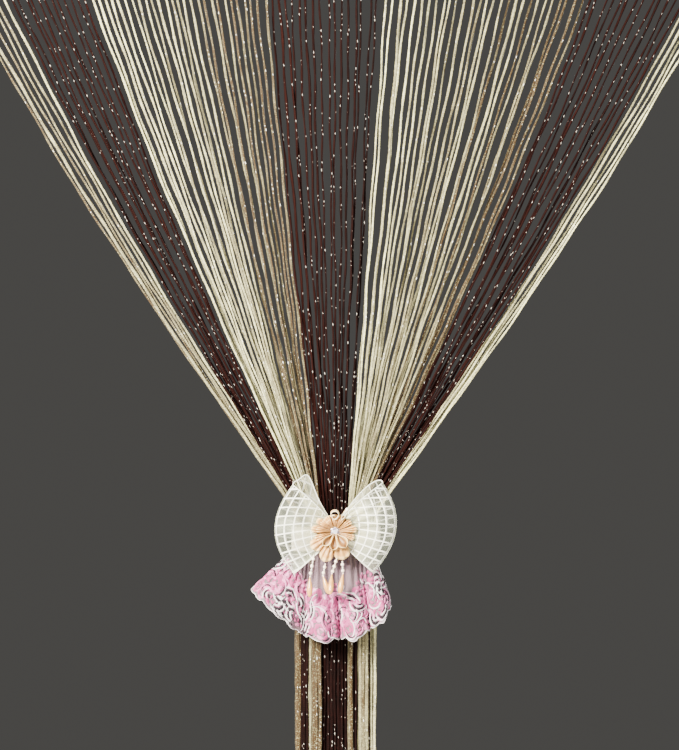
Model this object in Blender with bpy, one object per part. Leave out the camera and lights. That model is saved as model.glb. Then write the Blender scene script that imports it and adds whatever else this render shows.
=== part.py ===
"""String curtain, drawn in at mid height by a bow with a flower and a lace frill.

Metres, +Z up. The origin is the middle of the rod pocket's top edge. X runs along the
pocket to the viewer's right, and the front faces -Y.
"""

import math
import random
from collections import namedtuple

import bmesh
import bpy
from mathutils import Vector

# Clearances
GAP = 0.0003
HALF_TURN = math.pi
FULL_TURN = 2.0 * math.pi

# Rod pocket
POCKET_WIDTH = 1.000
POCKET_HEIGHT = 0.050
POCKET_RADIUS = 0.0105
POCKET_WALL = 0.0015
POCKET_SEAM = 0.0040
POCKET_SEAM_DEPTH = 0.0030
POCKET_ARC_STEPS = 12

# Strands and the strips that they are knitted to
STRIP_HEIGHT = 0.008
STRIP_THICKNESS = 0.0016
STRAND_LENGTH = 1.942
ROOT_Z = -(POCKET_HEIGHT + GAP + STRIP_HEIGHT)
WAIST_Z = -0.783
ROOT_LEFT = -0.5 * POCKET_WIDTH
WAIST_LEFT = -0.052
FAN_BEND = 0.168
FAN_EASE = 0.02
FAN_STATIONS = (1.0, 0.78, 0.56, 0.34, 0.16, 0.05, 0.0)
LENGTH_STEPS = 40
ROOT_SCATTER = 0.0012
SWAY = 0.0015
STACK_ROWS = 7
ROW_PITCH = 0.0022
ROW_CLEARANCE = 0.0034
STACKED_BELOW = 0.72

# root_width is the share of the pocket, waist_width the share of the gathered bundle
Band = namedtuple("Band", "name strands root_width waist_width strand_width tone")
BANDS = (
    Band("strands_1_cream_edge", 6, 0.059, 0.007, 0.0029, "champagne"),
    Band("strands_2_brown", 12, 0.107, 0.007, 0.0025, "brown"),
    Band("strands_3_cream", 27, 0.239, 0.014, 0.0029, "ivory"),
    Band("strands_4_brown", 16, 0.148, 0.032, 0.0025, "brown"),
    Band("strands_5_cream", 28, 0.274, 0.015, 0.0029, "ivory"),
    Band("strands_6_brown", 13, 0.135, 0.009, 0.0025, "brown"),
    Band("strands_7_cream_edge", 5, 0.038, 0.008, 0.0029, "champagne"),
)
Strand = namedtuple("Strand", "root_x waist_x row sway width")

# Tie: its own centre is the flower's middle, and its band circles the bundle
TIE_X = -0.0067
TIE_Z = -0.7926
BAND_TOP = 0.004
BAND_BOTTOM = -0.024
BAND_X = 0.0009
BAND_HALF_WIDTH = 0.0495
BAND_HALF_DEPTH = 0.0100
BAND_THICKNESS = 0.0020
BAND_SQUARENESS = 3.0
BAND_STEPS = 28

# Bow: upper and lower are its tips and reach its outer fold, from the flower's middle
BowLoop = namedtuple("BowLoop", "name side upper_x upper_z lower_x lower_z reach")
BOW_LOOPS = (
    BowLoop("bow_loop_left", -1.0, 0.0480, 0.0530, 0.0475, -0.0485, 0.069),
    BowLoop("bow_loop_right", 1.0, 0.0542, 0.0554, 0.0436, -0.0469, 0.070),
)
RIBBON_THICKNESS = 0.0010
KNOT_X = 0.0045
KNOT_HALF_HEIGHT = 0.011
KNOT_Y = -0.0195
KNOT_GAP = 0.0018
BOW_LEAN = 0.010
BOW_PUFF = 0.013
BOW_EDGE_PUFF = 0.55
KNOT_PLEATS = 3
KNOT_PLEAT_DEPTH = 0.0012
BOW_ROUND_STEPS = 16
BOW_CROSS_STEPS = 8

# Flower: petals run round from start, anticlockwise as seen from the front
Petal = namedtuple("Petal", "turn length")
Tier = namedtuple("Tier", "name start valley back_y petals")
FRONT_PETALS = (
    Petal(26, 0.0230),
    Petal(26, 0.0250),
    Petal(28, 0.0220),
    Petal(26, 0.0290),
    Petal(32, 0.0255),
    Petal(26, 0.0200),
    Petal(26, 0.0250),
    Petal(26, 0.0275),
    Petal(26, 0.0240),
    Petal(34, 0.0200),
    Petal(38, 0.0205),
    Petal(46, 0.0210),
)
BACK_PETALS = (
    Petal(36, 0.0330),
    Petal(34, 0.0360),
    Petal(44, 0.0330),
    Petal(246, 0.0195),
)
FLOWER_TIERS = (
    Tier("flower_front_petals", -31, 0.0170, -0.0269, FRONT_PETALS),
    Tier("flower_back_petals", 196, 0.0190, -0.0238, BACK_PETALS),
)
PETAL_STEPS = 5
PETAL_CUP = 0.39
PETAL_THICKNESS = 0.0026
PETAL_RIM = 0.0010
PETAL_RINGS = (0.15, 0.50, 0.85, 1.0)

# Centre stone
STONE_RADIUS = 0.0050
STONE_HEIGHT = 0.0042
STONE_FOOT = 0.90
STONE_WIDEST_AT = 0.25
STONE_TABLE = 0.55
STONE_SIDES = 8
STONE_Y = -0.0316

# Dangles, from the flower's middle: forward is how far the tip stands out, and the drop
# starts at the knee
DANGLE_TOP_Y = -0.0345
Dangle = namedtuple("Dangle", "name top_x top_z knee_x knee_z tip_x tip_z forward beads")
DANGLES = (
    Dangle("dangle_1", -0.0242, -0.0270, -0.0286, -0.0510, -0.0290, -0.0740, 0.043, 3),
    Dangle("dangle_2", -0.0113, -0.0370, -0.0138, -0.0498, -0.0070, -0.0706, 0.041, 2),
    Dangle("dangle_3", 0.0017, -0.0310, -0.0037, -0.0475, -0.0055, -0.0706, 0.050, 3),
    Dangle("dangle_4", 0.0082, -0.0340, 0.0090, -0.0475, 0.0053, -0.0700, 0.043, 2),
)
THREAD_RADIUS = 0.0006
PEARL_RADIUS = 0.0020
DROP_RADIUS = 0.0032
DROP_BELLY = 0.65
DROP_STATIONS = (0.0, 0.30, DROP_BELLY, 0.88, 1.0)
DANGLE_SIDES = 6

# Lace frill: a row for each valley and crest from left to right. top_drop and hem_drop
# are below the flower's middle, and forward is how far the hem stands out.
Fold = namedtuple("Fold", "top_x top_drop hem_x hem_drop forward")
FRILL_FOLDS = (
    Fold(-0.0520, 0.026, -0.0965, 0.0695, 0.004),
    Fold(-0.0420, 0.029, -0.0690, 0.0930, 0.040),
    Fold(-0.0310, 0.036, -0.0360, 0.1190, 0.017),
    Fold(-0.0190, 0.019, -0.0155, 0.1270, 0.044),
    Fold(-0.0010, 0.017, 0.0060, 0.1235, 0.020),
    Fold(0.0160, 0.020, 0.0240, 0.1240, 0.044),
    Fold(0.0300, 0.036, 0.0400, 0.1130, 0.018),
    Fold(0.0390, 0.032, 0.0550, 0.1030, 0.036),
    Fold(0.0460, 0.029, 0.0645, 0.0870, 0.006),
)
FRILL_TOP_DEPTH = 0.0148
FRILL_TOP_HALF_WIDTH = 0.066
FRILL_THICKNESS = 0.0010
FRILL_FLARE = 1.3
FRILL_ROUNDNESS = 0.8
FRILL_FOLD_STEPS = 5
FRILL_DROP_STEPS = 7

# name: red, green, blue, roughness, metallic
FINISHES = {
    "woven_heading": (0.80, 0.74, 0.60, 0.85, 0.0),
    "ivory": (0.82, 0.78, 0.62, 0.70, 0.0),
    "champagne": (0.62, 0.50, 0.33, 0.65, 0.0),
    "brown": (0.060, 0.020, 0.014, 0.60, 0.0),
    "organza": (0.84, 0.85, 0.76, 0.55, 0.0),
    "peach_satin": (0.86, 0.62, 0.42, 0.40, 0.0),
    "pink_lace": (0.84, 0.48, 0.60, 0.70, 0.0),
    "pearl": (0.90, 0.83, 0.72, 0.25, 0.0),
    "crystal": (0.72, 0.70, 0.80, 0.08, 0.6),
}


def clear_scene():
    """Removes whatever the open file holds."""
    for old in list(bpy.data.objects):
        bpy.data.objects.remove(old, do_unlink=True)


def finish(name):
    """The material of one finish, made once."""
    if name in bpy.data.materials:
        return bpy.data.materials[name]
    red, green, blue, roughness, metallic = FINISHES[name]
    material = bpy.data.materials.new(name)
    material.use_nodes = True
    shader = material.node_tree.nodes["Principled BSDF"]
    shader.inputs["Base Color"].default_value = (red, green, blue, 1.0)
    shader.inputs["Roughness"].default_value = roughness
    shader.inputs["Metallic"].default_value = metallic
    return material


def empty(name, location, parent=None):
    """An empty that carries a sub-assembly."""
    holder = bpy.data.objects.new(name, None)
    holder.location = location
    holder.parent = parent
    bpy.context.scene.collection.objects.link(holder)
    return holder


def place(name, bm, tone, parent):
    """Turns a bmesh into a named object with its finish, under its empty."""
    bmesh.ops.recalc_face_normals(bm, faces=bm.faces)
    mesh = bpy.data.meshes.new(name)
    bm.to_mesh(mesh)
    bm.free()
    mesh.materials.append(finish(tone))
    piece = bpy.data.objects.new(name, mesh)
    piece.parent = parent
    bpy.context.scene.collection.objects.link(piece)
    return piece


def thicken(piece, thickness):
    """Gives a sheet its thickness, half to each side."""
    solid = piece.modifiers.new("thickness", "SOLIDIFY")
    solid.thickness = thickness
    solid.offset = 0.0
    solid.use_even_offset = True


def mix(low, high, share):
    """The value a share of the way from low to high."""
    return low + (high - low) * share


def bridge(bm, ring, after):
    """Joins two closed rings of vertices with faces."""
    count = len(ring)
    for index in range(count):
        following = (index + 1) % count
        bm.faces.new((ring[index], ring[following], after[following], after[index]))


def lofted(rings, closed_on_itself):
    """A skin over rings of points: capped at both ends, or run back to its first ring."""
    bm = bmesh.new()
    made = [[bm.verts.new(point) for point in ring] for ring in rings]
    for ring, after in zip(made, made[1:]):
        bridge(bm, ring, after)
    if closed_on_itself:
        bridge(bm, made[-1], made[0])
    else:
        bm.faces.new(made[0])
        bm.faces.new(made[-1])
    return bm


def sheet(columns):
    """An open sheet over columns of points."""
    bm = bmesh.new()
    made = [[bm.verts.new(point) for point in column] for column in columns]
    for column, after in zip(made, made[1:]):
        for index in range(len(column) - 1):
            bm.faces.new((column[index], column[index + 1], after[index + 1], after[index]))
    return bm


def pocket_loop(radius, seam_half, bottom_z):
    """A teardrop in the YZ plane: round where the rod runs, closing on the seam."""
    centre_z = -POCKET_RADIUS
    lean = math.asin((radius - seam_half) / (centre_z - bottom_z))
    loop = []
    for step in range(POCKET_ARC_STEPS + 1):
        angle = mix(-lean, HALF_TURN + lean, step / POCKET_ARC_STEPS)
        loop.append((radius * math.cos(angle), centre_z + radius * math.sin(angle)))
    loop.append((-seam_half, bottom_z))
    loop.append((seam_half, bottom_z))
    return loop


def add_pocket(parent):
    """The rod pocket, a sleeve open at both ends."""
    half_seam = 0.5 * POCKET_SEAM
    outer = pocket_loop(POCKET_RADIUS, half_seam, -POCKET_HEIGHT)
    inner = pocket_loop(
        POCKET_RADIUS - POCKET_WALL, half_seam - POCKET_WALL, POCKET_SEAM_DEPTH - POCKET_HEIGHT
    )
    right = 0.5 * POCKET_WIDTH
    rings = [
        [Vector((x, y, z)) for y, z in loop]
        for x, loop in ((-right, outer), (right, outer), (right, inner), (-right, inner))
    ]
    place("rod_pocket", lofted(rings, True), "woven_heading", parent)


def spread(height):
    """How far the fan has opened: 0 at the waist, where height is 0, and 1 at the roots."""

    def opened(share):
        return math.hypot(share, FAN_EASE) - FAN_EASE - FAN_BEND * share * share

    return opened(height) / opened(1.0)


def free_row(last_x, x):
    """The row nearest the middle of the bundle with room for a strand at x."""
    middle = STACK_ROWS // 2
    for row in sorted(range(STACK_ROWS), key=lambda number: abs(number - middle)):
        if x - last_x[row] >= ROW_CLEARANCE:
            return row
    raise ValueError("the bundle needs more rows")


def all_strands():
    """Each band with its left root edge and its strands, worked out from left to right."""
    root_left, waist_left = ROOT_LEFT, WAIST_LEFT
    last_x = [-math.inf] * STACK_ROWS
    chance = random.Random(7)
    bands = []
    for band in BANDS:
        strands = []
        for number in range(band.strands):
            share = (number + 0.5) / band.strands
            root_x = root_left + share * band.root_width + ROOT_SCATTER * chance.uniform(-1.0, 1.0)
            waist_x = waist_left + share * band.waist_width
            sway = SWAY * chance.uniform(-1.0, 1.0)
            row = free_row(last_x, waist_x)
            last_x[row] = waist_x
            strands.append(Strand(root_x, waist_x, row, sway, band.strand_width))
        bands.append((band, root_left, strands))
        root_left += band.root_width
        waist_left += band.waist_width
    return bands


def strand_point(strand, height):
    """The strand's middle at a height: 1 at its root, 0 at the waist."""
    x = mix(strand.waist_x, strand.root_x, spread(height))
    x += strand.sway * math.sin(HALF_TURN * height)
    settled = min(1.0, (1.0 - height) / (1.0 - STACKED_BELOW))
    settled = settled * settled * (3.0 - 2.0 * settled)
    y = (strand.row - STACK_ROWS // 2) * ROW_PITCH * settled
    return Vector((x, y, mix(WAIST_Z, ROOT_Z, height)))


def fan_length(strand):
    """The length of a strand from its root to the waist."""
    points = [strand_point(strand, step / LENGTH_STEPS) for step in range(LENGTH_STEPS + 1)]
    return sum((after - before).length for before, after in zip(points, points[1:]))


def strand_stations(strand):
    """The strand's middle points below its root, and its half width across X at each."""
    points = [strand_point(strand, height) for height in FAN_STATIONS]
    stations = []
    for index, point in enumerate(points[1:], start=1):
        above = points[index - 1]
        below = points[min(index + 1, len(points) - 1)]
        run = above - below
        stretch = run.length / abs(run.z)
        stations.append((point, 0.5 * strand.width * stretch))
    waist = points[-1]
    end_z = waist.z - (STRAND_LENGTH - fan_length(strand))
    stations[-1] = (waist, 0.5 * strand.width)
    stations.append((Vector((waist.x, waist.y, end_z)), 0.5 * strand.width))
    return stations


def grow_strand(bm, root, strand):
    """Extends a strand down from its four root vertices."""
    half_depth = 0.5 * STRIP_THICKNESS
    ring = root
    for point, half_width in strand_stations(strand):
        corners = ((-1, -1), (1, -1), (1, 1), (-1, 1))
        below = [
            bm.verts.new(point + Vector((x * half_width, y * half_depth, 0.0)))
            for x, y in corners
        ]
        bridge(bm, ring, below)
        ring = below
    bm.faces.new(ring)


def strip_post(bm, x):
    """The four corners of a cut through the strip: front and back, top and bottom."""
    half_depth = 0.5 * STRIP_THICKNESS
    top = ROOT_Z + STRIP_HEIGHT
    corners = ((-half_depth, top), (half_depth, top), (-half_depth, ROOT_Z), (half_depth, ROOT_Z))
    return [bm.verts.new((x, y, z)) for y, z in corners]


def add_band(band, left, strands, parent):
    """One run of strands, fused at the root to its strip."""
    bm = bmesh.new()
    half_gap = 0.5 * GAP
    cuts = [left + half_gap]
    for strand in strands:
        cuts += [strand.root_x - 0.5 * strand.width, strand.root_x + 0.5 * strand.width]
    cuts.append(left + band.root_width - half_gap)
    posts = [strip_post(bm, x) for x in cuts]
    for index, (near, far) in enumerate(zip(posts, posts[1:])):
        front_top, back_top, front_low, back_low = near
        next_front_top, next_back_top, next_front_low, next_back_low = far
        bm.faces.new((front_top, next_front_top, next_front_low, front_low))
        bm.faces.new((back_top, next_back_top, next_back_low, back_low))
        bm.faces.new((front_top, next_front_top, next_back_top, back_top))
        root = (front_low, next_front_low, next_back_low, back_low)
        if index % 2 == 0:
            bm.faces.new(root)
        else:
            grow_strand(bm, list(root), strands[index // 2])
    for front_top, back_top, front_low, back_low in (posts[0], posts[-1]):
        bm.faces.new((front_top, back_top, back_low, front_low))
    place(band.name, bm, band.tone, parent)


def rounded_loop(half_width, half_depth, z):
    """A rounded oblong round the bundle at one height."""
    power = 2.0 / BAND_SQUARENESS
    loop = []
    for step in range(BAND_STEPS):
        angle = FULL_TURN * step / BAND_STEPS
        across, along = math.cos(angle), math.sin(angle)
        x = BAND_X + half_width * math.copysign(abs(across) ** power, across)
        y = half_depth * math.copysign(abs(along) ** power, along)
        loop.append(Vector((x, y, z)))
    return loop


def add_tie_band(parent):
    """The strap that holds the bundle together."""
    outer_width = BAND_HALF_WIDTH + BAND_THICKNESS
    outer_depth = BAND_HALF_DEPTH + BAND_THICKNESS
    rings = [
        rounded_loop(outer_width, outer_depth, BAND_TOP),
        rounded_loop(outer_width, outer_depth, BAND_BOTTOM),
        rounded_loop(BAND_HALF_WIDTH, BAND_HALF_DEPTH, BAND_BOTTOM),
        rounded_loop(BAND_HALF_WIDTH, BAND_HALF_DEPTH, BAND_TOP),
    ]
    place("tie_band", lofted(rings, True), "ivory", parent)


def bow_fold(loop, across):
    """A point of the outer fold: across is -1 at the lower tip and 1 at the upper tip."""
    tips_x = 0.5 * (loop.upper_x + loop.lower_x)
    tips_z = 0.5 * (loop.upper_z + loop.lower_z)
    x = loop.reach - (loop.reach - tips_x) * across * across
    x += 0.5 * (loop.upper_x - loop.lower_x) * across
    z = tips_z + 0.5 * (loop.upper_z - loop.lower_z) * across
    return x, z


def bow_point(loop, around, across):
    """A point of the ribbon: around runs from the knot out along the front and back again."""
    outward = 0.5 * (1.0 - math.cos(around))
    fold_x, fold_z = bow_fold(loop, across)
    x = mix(KNOT_X, fold_x, outward)
    z = mix(KNOT_HALF_HEIGHT * across, fold_z, outward)
    middle_y = KNOT_Y - BOW_LEAN * math.sin(0.5 * HALF_TURN * outward)
    puff = BOW_PUFF * (1.0 - (1.0 - BOW_EDGE_PUFF) * across * across)
    y = middle_y - puff * math.sin(around) * math.sqrt(outward)
    y -= KNOT_GAP * math.cos(0.5 * around)
    y += KNOT_PLEAT_DEPTH * math.cos(KNOT_PLEATS * HALF_TURN * across) * (1.0 - outward) ** 2
    return Vector((loop.side * x, y, z))


def add_bow_loop(loop, parent):
    """One loop of ribbon, pinched at the knot and open above and below."""
    columns = []
    for step in range(BOW_ROUND_STEPS + 1):
        around = FULL_TURN * step / BOW_ROUND_STEPS
        columns.append(
            [
                bow_point(loop, around, mix(-1.0, 1.0, cross / BOW_CROSS_STEPS))
                for cross in range(BOW_CROSS_STEPS + 1)
            ]
        )
    thicken(place(loop.name, sheet(columns), "organza", parent), RIBBON_THICKNESS)


def tier_rim(tier):
    """The petals' outline: an angle, a radius and how near the petal's middle it is."""
    rim = []
    start = math.radians(tier.start)
    for petal in tier.petals:
        turn = math.radians(petal.turn)
        for step in range(PETAL_STEPS):
            side = mix(-1.0, 1.0, step / PETAL_STEPS)
            middle = math.sqrt(1.0 - side * side)
            radius = mix(tier.valley, petal.length, middle)
            rim.append((start + turn * step / PETAL_STEPS, radius, middle))
        start += turn
    return rim


def tier_ring(tier, rim, share, raised):
    """A ring of the tier at a share of its radius, on its back or raised to its front."""
    ring = []
    for angle, radius, middle in rim:
        reach = radius * share
        y = tier.back_y - PETAL_CUP * reach
        if raised:
            crown = mix(PETAL_RIM, PETAL_THICKNESS, middle)
            y -= mix(crown, PETAL_RIM, share**4)
        ring.append(Vector((reach * math.cos(angle), y, reach * math.sin(angle))))
    return ring


def add_flower_tier(tier, parent):
    """One tier of petals as a scalloped cup."""
    rim = tier_rim(tier)
    front = [tier_ring(tier, rim, share, True) for share in PETAL_RINGS]
    back = [tier_ring(tier, rim, share, False) for share in reversed(PETAL_RINGS)]
    place(tier.name, lofted(front + back, False), "peach_satin", parent)


def add_stone(parent):
    """The centre stone: a straight foot, a widest line and a flat facet in front."""
    rings = []
    for radius, forward in (
        (STONE_RADIUS * STONE_FOOT, 0.0),
        (STONE_RADIUS, STONE_WIDEST_AT * STONE_HEIGHT),
        (STONE_RADIUS * STONE_TABLE, STONE_HEIGHT),
    ):
        ring = []
        for side in range(STONE_SIDES):
            angle = FULL_TURN * side / STONE_SIDES
            ring.append(
                Vector((radius * math.cos(angle), STONE_Y - forward, radius * math.sin(angle)))
            )
        rings.append(ring)
    place("centre_stone", lofted(rings, False), "crystal", parent)


def bead_profile(middle):
    """Radii along one pearl, by distance from the dangle's top."""
    half = 0.5 * PEARL_RADIUS
    wide = math.sqrt(PEARL_RADIUS**2 - half**2)
    return [
        (middle - PEARL_RADIUS, THREAD_RADIUS),
        (middle - half, wide),
        (middle + half, wide),
        (middle + PEARL_RADIUS, THREAD_RADIUS),
    ]


def dangle_profile(dangle, thread, drop):
    """Radii along the dangle: a thread with pearls, then the drop."""
    profile = [(0.0, THREAD_RADIUS)]
    pitch = thread / dangle.beads
    for number in range(dangle.beads):
        profile += bead_profile(pitch * (number + 0.5))
    for share in DROP_STATIONS:
        if share <= DROP_BELLY:
            swell = share / DROP_BELLY
        else:
            swell = math.sqrt(1.0 - ((share - DROP_BELLY) / (1.0 - DROP_BELLY)) ** 2)
        profile.append((thread + drop * share, mix(THREAD_RADIUS, DROP_RADIUS, swell)))
    return profile


def add_dangle(dangle, parent):
    """One string of pearls and its drop, as one turned solid with a knee."""
    fallen = (dangle.top_z - dangle.knee_z) / (dangle.top_z - dangle.tip_z)
    top = Vector((dangle.top_x, DANGLE_TOP_Y, dangle.top_z))
    knee = Vector((dangle.knee_x, mix(DANGLE_TOP_Y, -dangle.forward, fallen), dangle.knee_z))
    tip = Vector((dangle.tip_x, -dangle.forward, dangle.tip_z))
    thread, drop = (knee - top).length, (tip - knee).length
    rings = []
    for distance, radius in dangle_profile(dangle, thread, drop):
        if distance <= thread:
            centre = top.lerp(knee, distance / thread)
        else:
            centre = knee.lerp(tip, (distance - thread) / drop)
        ring = []
        for side in range(DANGLE_SIDES):
            angle = FULL_TURN * side / DANGLE_SIDES
            offset = Vector((radius * math.cos(angle), radius * math.sin(angle), 0.0))
            ring.append(centre + offset)
        rings.append(ring)
    place(dangle.name, lofted(rings, False), "pearl", parent)


def frill_top_y(x):
    """The gathered edge follows the front of the tie band and turns back at its ends."""
    sideways = min(1.0, abs(x) / FRILL_TOP_HALF_WIDTH)
    return -FRILL_TOP_DEPTH * (1.0 - sideways**3)


def frill_column(before, after, share):
    """The lace from its gathered edge to its hem, a share of the way between two rows."""
    soft, sharp = math.sin(0.5 * HALF_TURN * share), 1.0 - math.cos(0.5 * HALF_TURN * share)
    rising = before.forward < after.forward
    across, rise = (sharp, soft) if rising else (soft, sharp)
    top_x = mix(before.top_x, after.top_x, share)
    top_z = -mix(before.top_drop, after.top_drop, across)
    hem_x = mix(before.hem_x, after.hem_x, mix(share, across, FRILL_ROUNDNESS))
    hem_z = -mix(before.hem_drop, after.hem_drop, across)
    hem_y = -mix(before.forward, after.forward, rise)
    top_y = frill_top_y(top_x)
    column = []
    for step in range(FRILL_DROP_STEPS + 1):
        down = step / FRILL_DROP_STEPS
        flare = down**FRILL_FLARE
        x = mix(top_x, hem_x, down)
        y = mix(top_y, hem_y, flare)
        column.append(Vector((x, y, mix(top_z, hem_z, down))))
    return column


def add_frill(parent):
    """The gathered lace below the bow, with its folds."""
    columns = []
    for before, after in zip(FRILL_FOLDS, FRILL_FOLDS[1:]):
        for step in range(FRILL_FOLD_STEPS):
            columns.append(frill_column(before, after, step / FRILL_FOLD_STEPS))
    columns.append(frill_column(FRILL_FOLDS[-2], FRILL_FOLDS[-1], 1.0))
    thicken(place("lace_frill", sheet(columns), "pink_lace", parent), FRILL_THICKNESS)


def main():
    """Builds the whole curtain."""
    clear_scene()
    curtain = empty("curtain", (0.0, 0.0, 0.0))
    add_pocket(curtain)
    for band, left, strands in all_strands():
        add_band(band, left, strands, curtain)
    tie = empty("tie", (TIE_X, 0.0, TIE_Z), curtain)
    add_tie_band(tie)
    for loop in BOW_LOOPS:
        add_bow_loop(loop, tie)
    for tier in FLOWER_TIERS:
        add_flower_tier(tier, tie)
    add_stone(tie)
    for dangle in DANGLES:
        add_dangle(dangle, tie)
    add_frill(tie)


main()
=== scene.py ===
"""Looks of a string curtain, drawn in at mid height by a bow, a flower and a lace frill.

Metres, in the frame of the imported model: the origin is the middle of the rod pocket's top
edge, X runs to the viewer's right, the front faces -Y and Z is up. Cloth coordinates are
metres as well, so every weave and stitch has its real size.
"""

import logging
from dataclasses import dataclass
from enum import Enum
from math import asin, atan2, copysign, cos, exp, hypot, inf, pi, radians, sin, sqrt, tan
from random import Random
from typing import Callable, Sequence, Union

import bmesh
import bpy
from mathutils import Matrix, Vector


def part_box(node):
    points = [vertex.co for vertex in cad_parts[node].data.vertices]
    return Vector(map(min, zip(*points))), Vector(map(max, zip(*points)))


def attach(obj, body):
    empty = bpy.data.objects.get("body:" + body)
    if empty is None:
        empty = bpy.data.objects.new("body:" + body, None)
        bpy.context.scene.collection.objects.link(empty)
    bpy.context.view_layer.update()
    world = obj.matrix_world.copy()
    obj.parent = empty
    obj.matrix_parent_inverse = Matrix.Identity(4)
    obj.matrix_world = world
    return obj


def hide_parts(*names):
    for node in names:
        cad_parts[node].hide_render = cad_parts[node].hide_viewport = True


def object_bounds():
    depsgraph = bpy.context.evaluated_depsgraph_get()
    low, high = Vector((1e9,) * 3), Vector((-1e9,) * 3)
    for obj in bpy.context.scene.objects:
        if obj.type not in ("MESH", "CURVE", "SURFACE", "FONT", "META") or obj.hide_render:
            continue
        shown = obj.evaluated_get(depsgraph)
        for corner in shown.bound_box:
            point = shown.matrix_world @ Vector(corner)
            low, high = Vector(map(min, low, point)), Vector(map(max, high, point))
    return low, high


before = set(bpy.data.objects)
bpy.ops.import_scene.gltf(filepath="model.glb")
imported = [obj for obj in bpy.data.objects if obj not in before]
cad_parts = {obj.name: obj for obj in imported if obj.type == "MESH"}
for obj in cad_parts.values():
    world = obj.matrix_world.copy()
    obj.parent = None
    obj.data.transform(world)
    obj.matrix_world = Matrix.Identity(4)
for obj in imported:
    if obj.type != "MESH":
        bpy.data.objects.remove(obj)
CAD_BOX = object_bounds()

LOG = logging.getLogger("curtain")
TURN = 2.0 * pi
UP = Vector((0.0, 0.0, 1.0))
FRONT = Vector((0.0, -1.0, 0.0))
RIGHT = Vector((1.0, 0.0, 0.0))

# The flower's middle, from which the bow, petals, dangles and lace are placed
TIE = Vector((-0.0067, 0.0, -0.7926))

LEAST_RADIUS = 1e-5
ROUNDING = 1e-9
CORNERS = ((0, 0), (0, 1), (1, 1), (1, 0))

# The sockets of a Mix node that mixes colours
MIX_SHARE, MIX_LOW, MIX_HIGH = 0, 6, 7
MIX_COLOUR = 2
BUMP_STRENGTH = 0.8

Pair = tuple[float, float]
Cloth = Pair
Ramp = Pair
Section = Sequence[Pair]
Line = Sequence[Vector]
Tree = bpy.types.NodeTree
Spread = Union[float, Callable[[int, int], float]]
Colour = tuple[float, float, float]
Socket = bpy.types.NodeSocket
Value = Union[float, Socket]


def mix(low: float, high: float, share: float) -> float:
    """The value a share of the way from low to high."""
    return low + (high - low) * share


def eased(share: float) -> float:
    """A share from 0 to 1 with soft ends."""
    share = min(1.0, max(0.0, share))
    return share * share * (3.0 - 2.0 * share)


def ramp(value: float, start: float, length: float) -> float:
    """A soft step from 0 to 1, which starts at a value and takes a length."""
    return eased((value - start) / length)


def darkened(colour: Colour, share: float) -> Colour:
    """A colour taken down to a share of itself."""
    return tuple(share * part for part in colour)


def steps(count: int, low: float = 0.0, high: float = 1.0) -> list[float]:
    """Evenly spaced values from low to high, both ends counted."""
    return [mix(low, high, index / (count - 1)) for index in range(count)]


def circle(count: int, offset: float = 0.0) -> list[float]:
    """Evenly spaced angles round a full turn, moved on by a share of a space."""
    return [TURN * (number + offset) / count for number in range(count)]


def spread_at(value: Spread, row: int, column: int) -> float:
    """A value that may change over a grid, at one of its points."""
    return value(row, column) if callable(value) else value


def distances(line: Line) -> list[float]:
    """How far along the line each of its points lies.

    Args:
        line: its points.

    Returns:
        A distance for each point.
    """
    total, found = 0.0, [0.0]
    for before, after in zip(line, line[1:]):
        total += (after - before).length
        found.append(total)
    return found


class Wander:
    """A smooth random line, made of sine waves of random phase."""

    def __init__(self, chance: Random, wavelengths: Sequence[float]) -> None:
        """Draws a phase for each wavelength from the seeded source."""
        self.waves = [(TURN / length, chance.uniform(0.0, TURN)) for length in wavelengths]

    def at(self, distance: float) -> float:
        """The line's height, from -1 to 1, at a distance along it."""
        heights = [sin(rate * distance + phase) for rate, phase in self.waves]
        return sum(heights) / len(heights)


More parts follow.
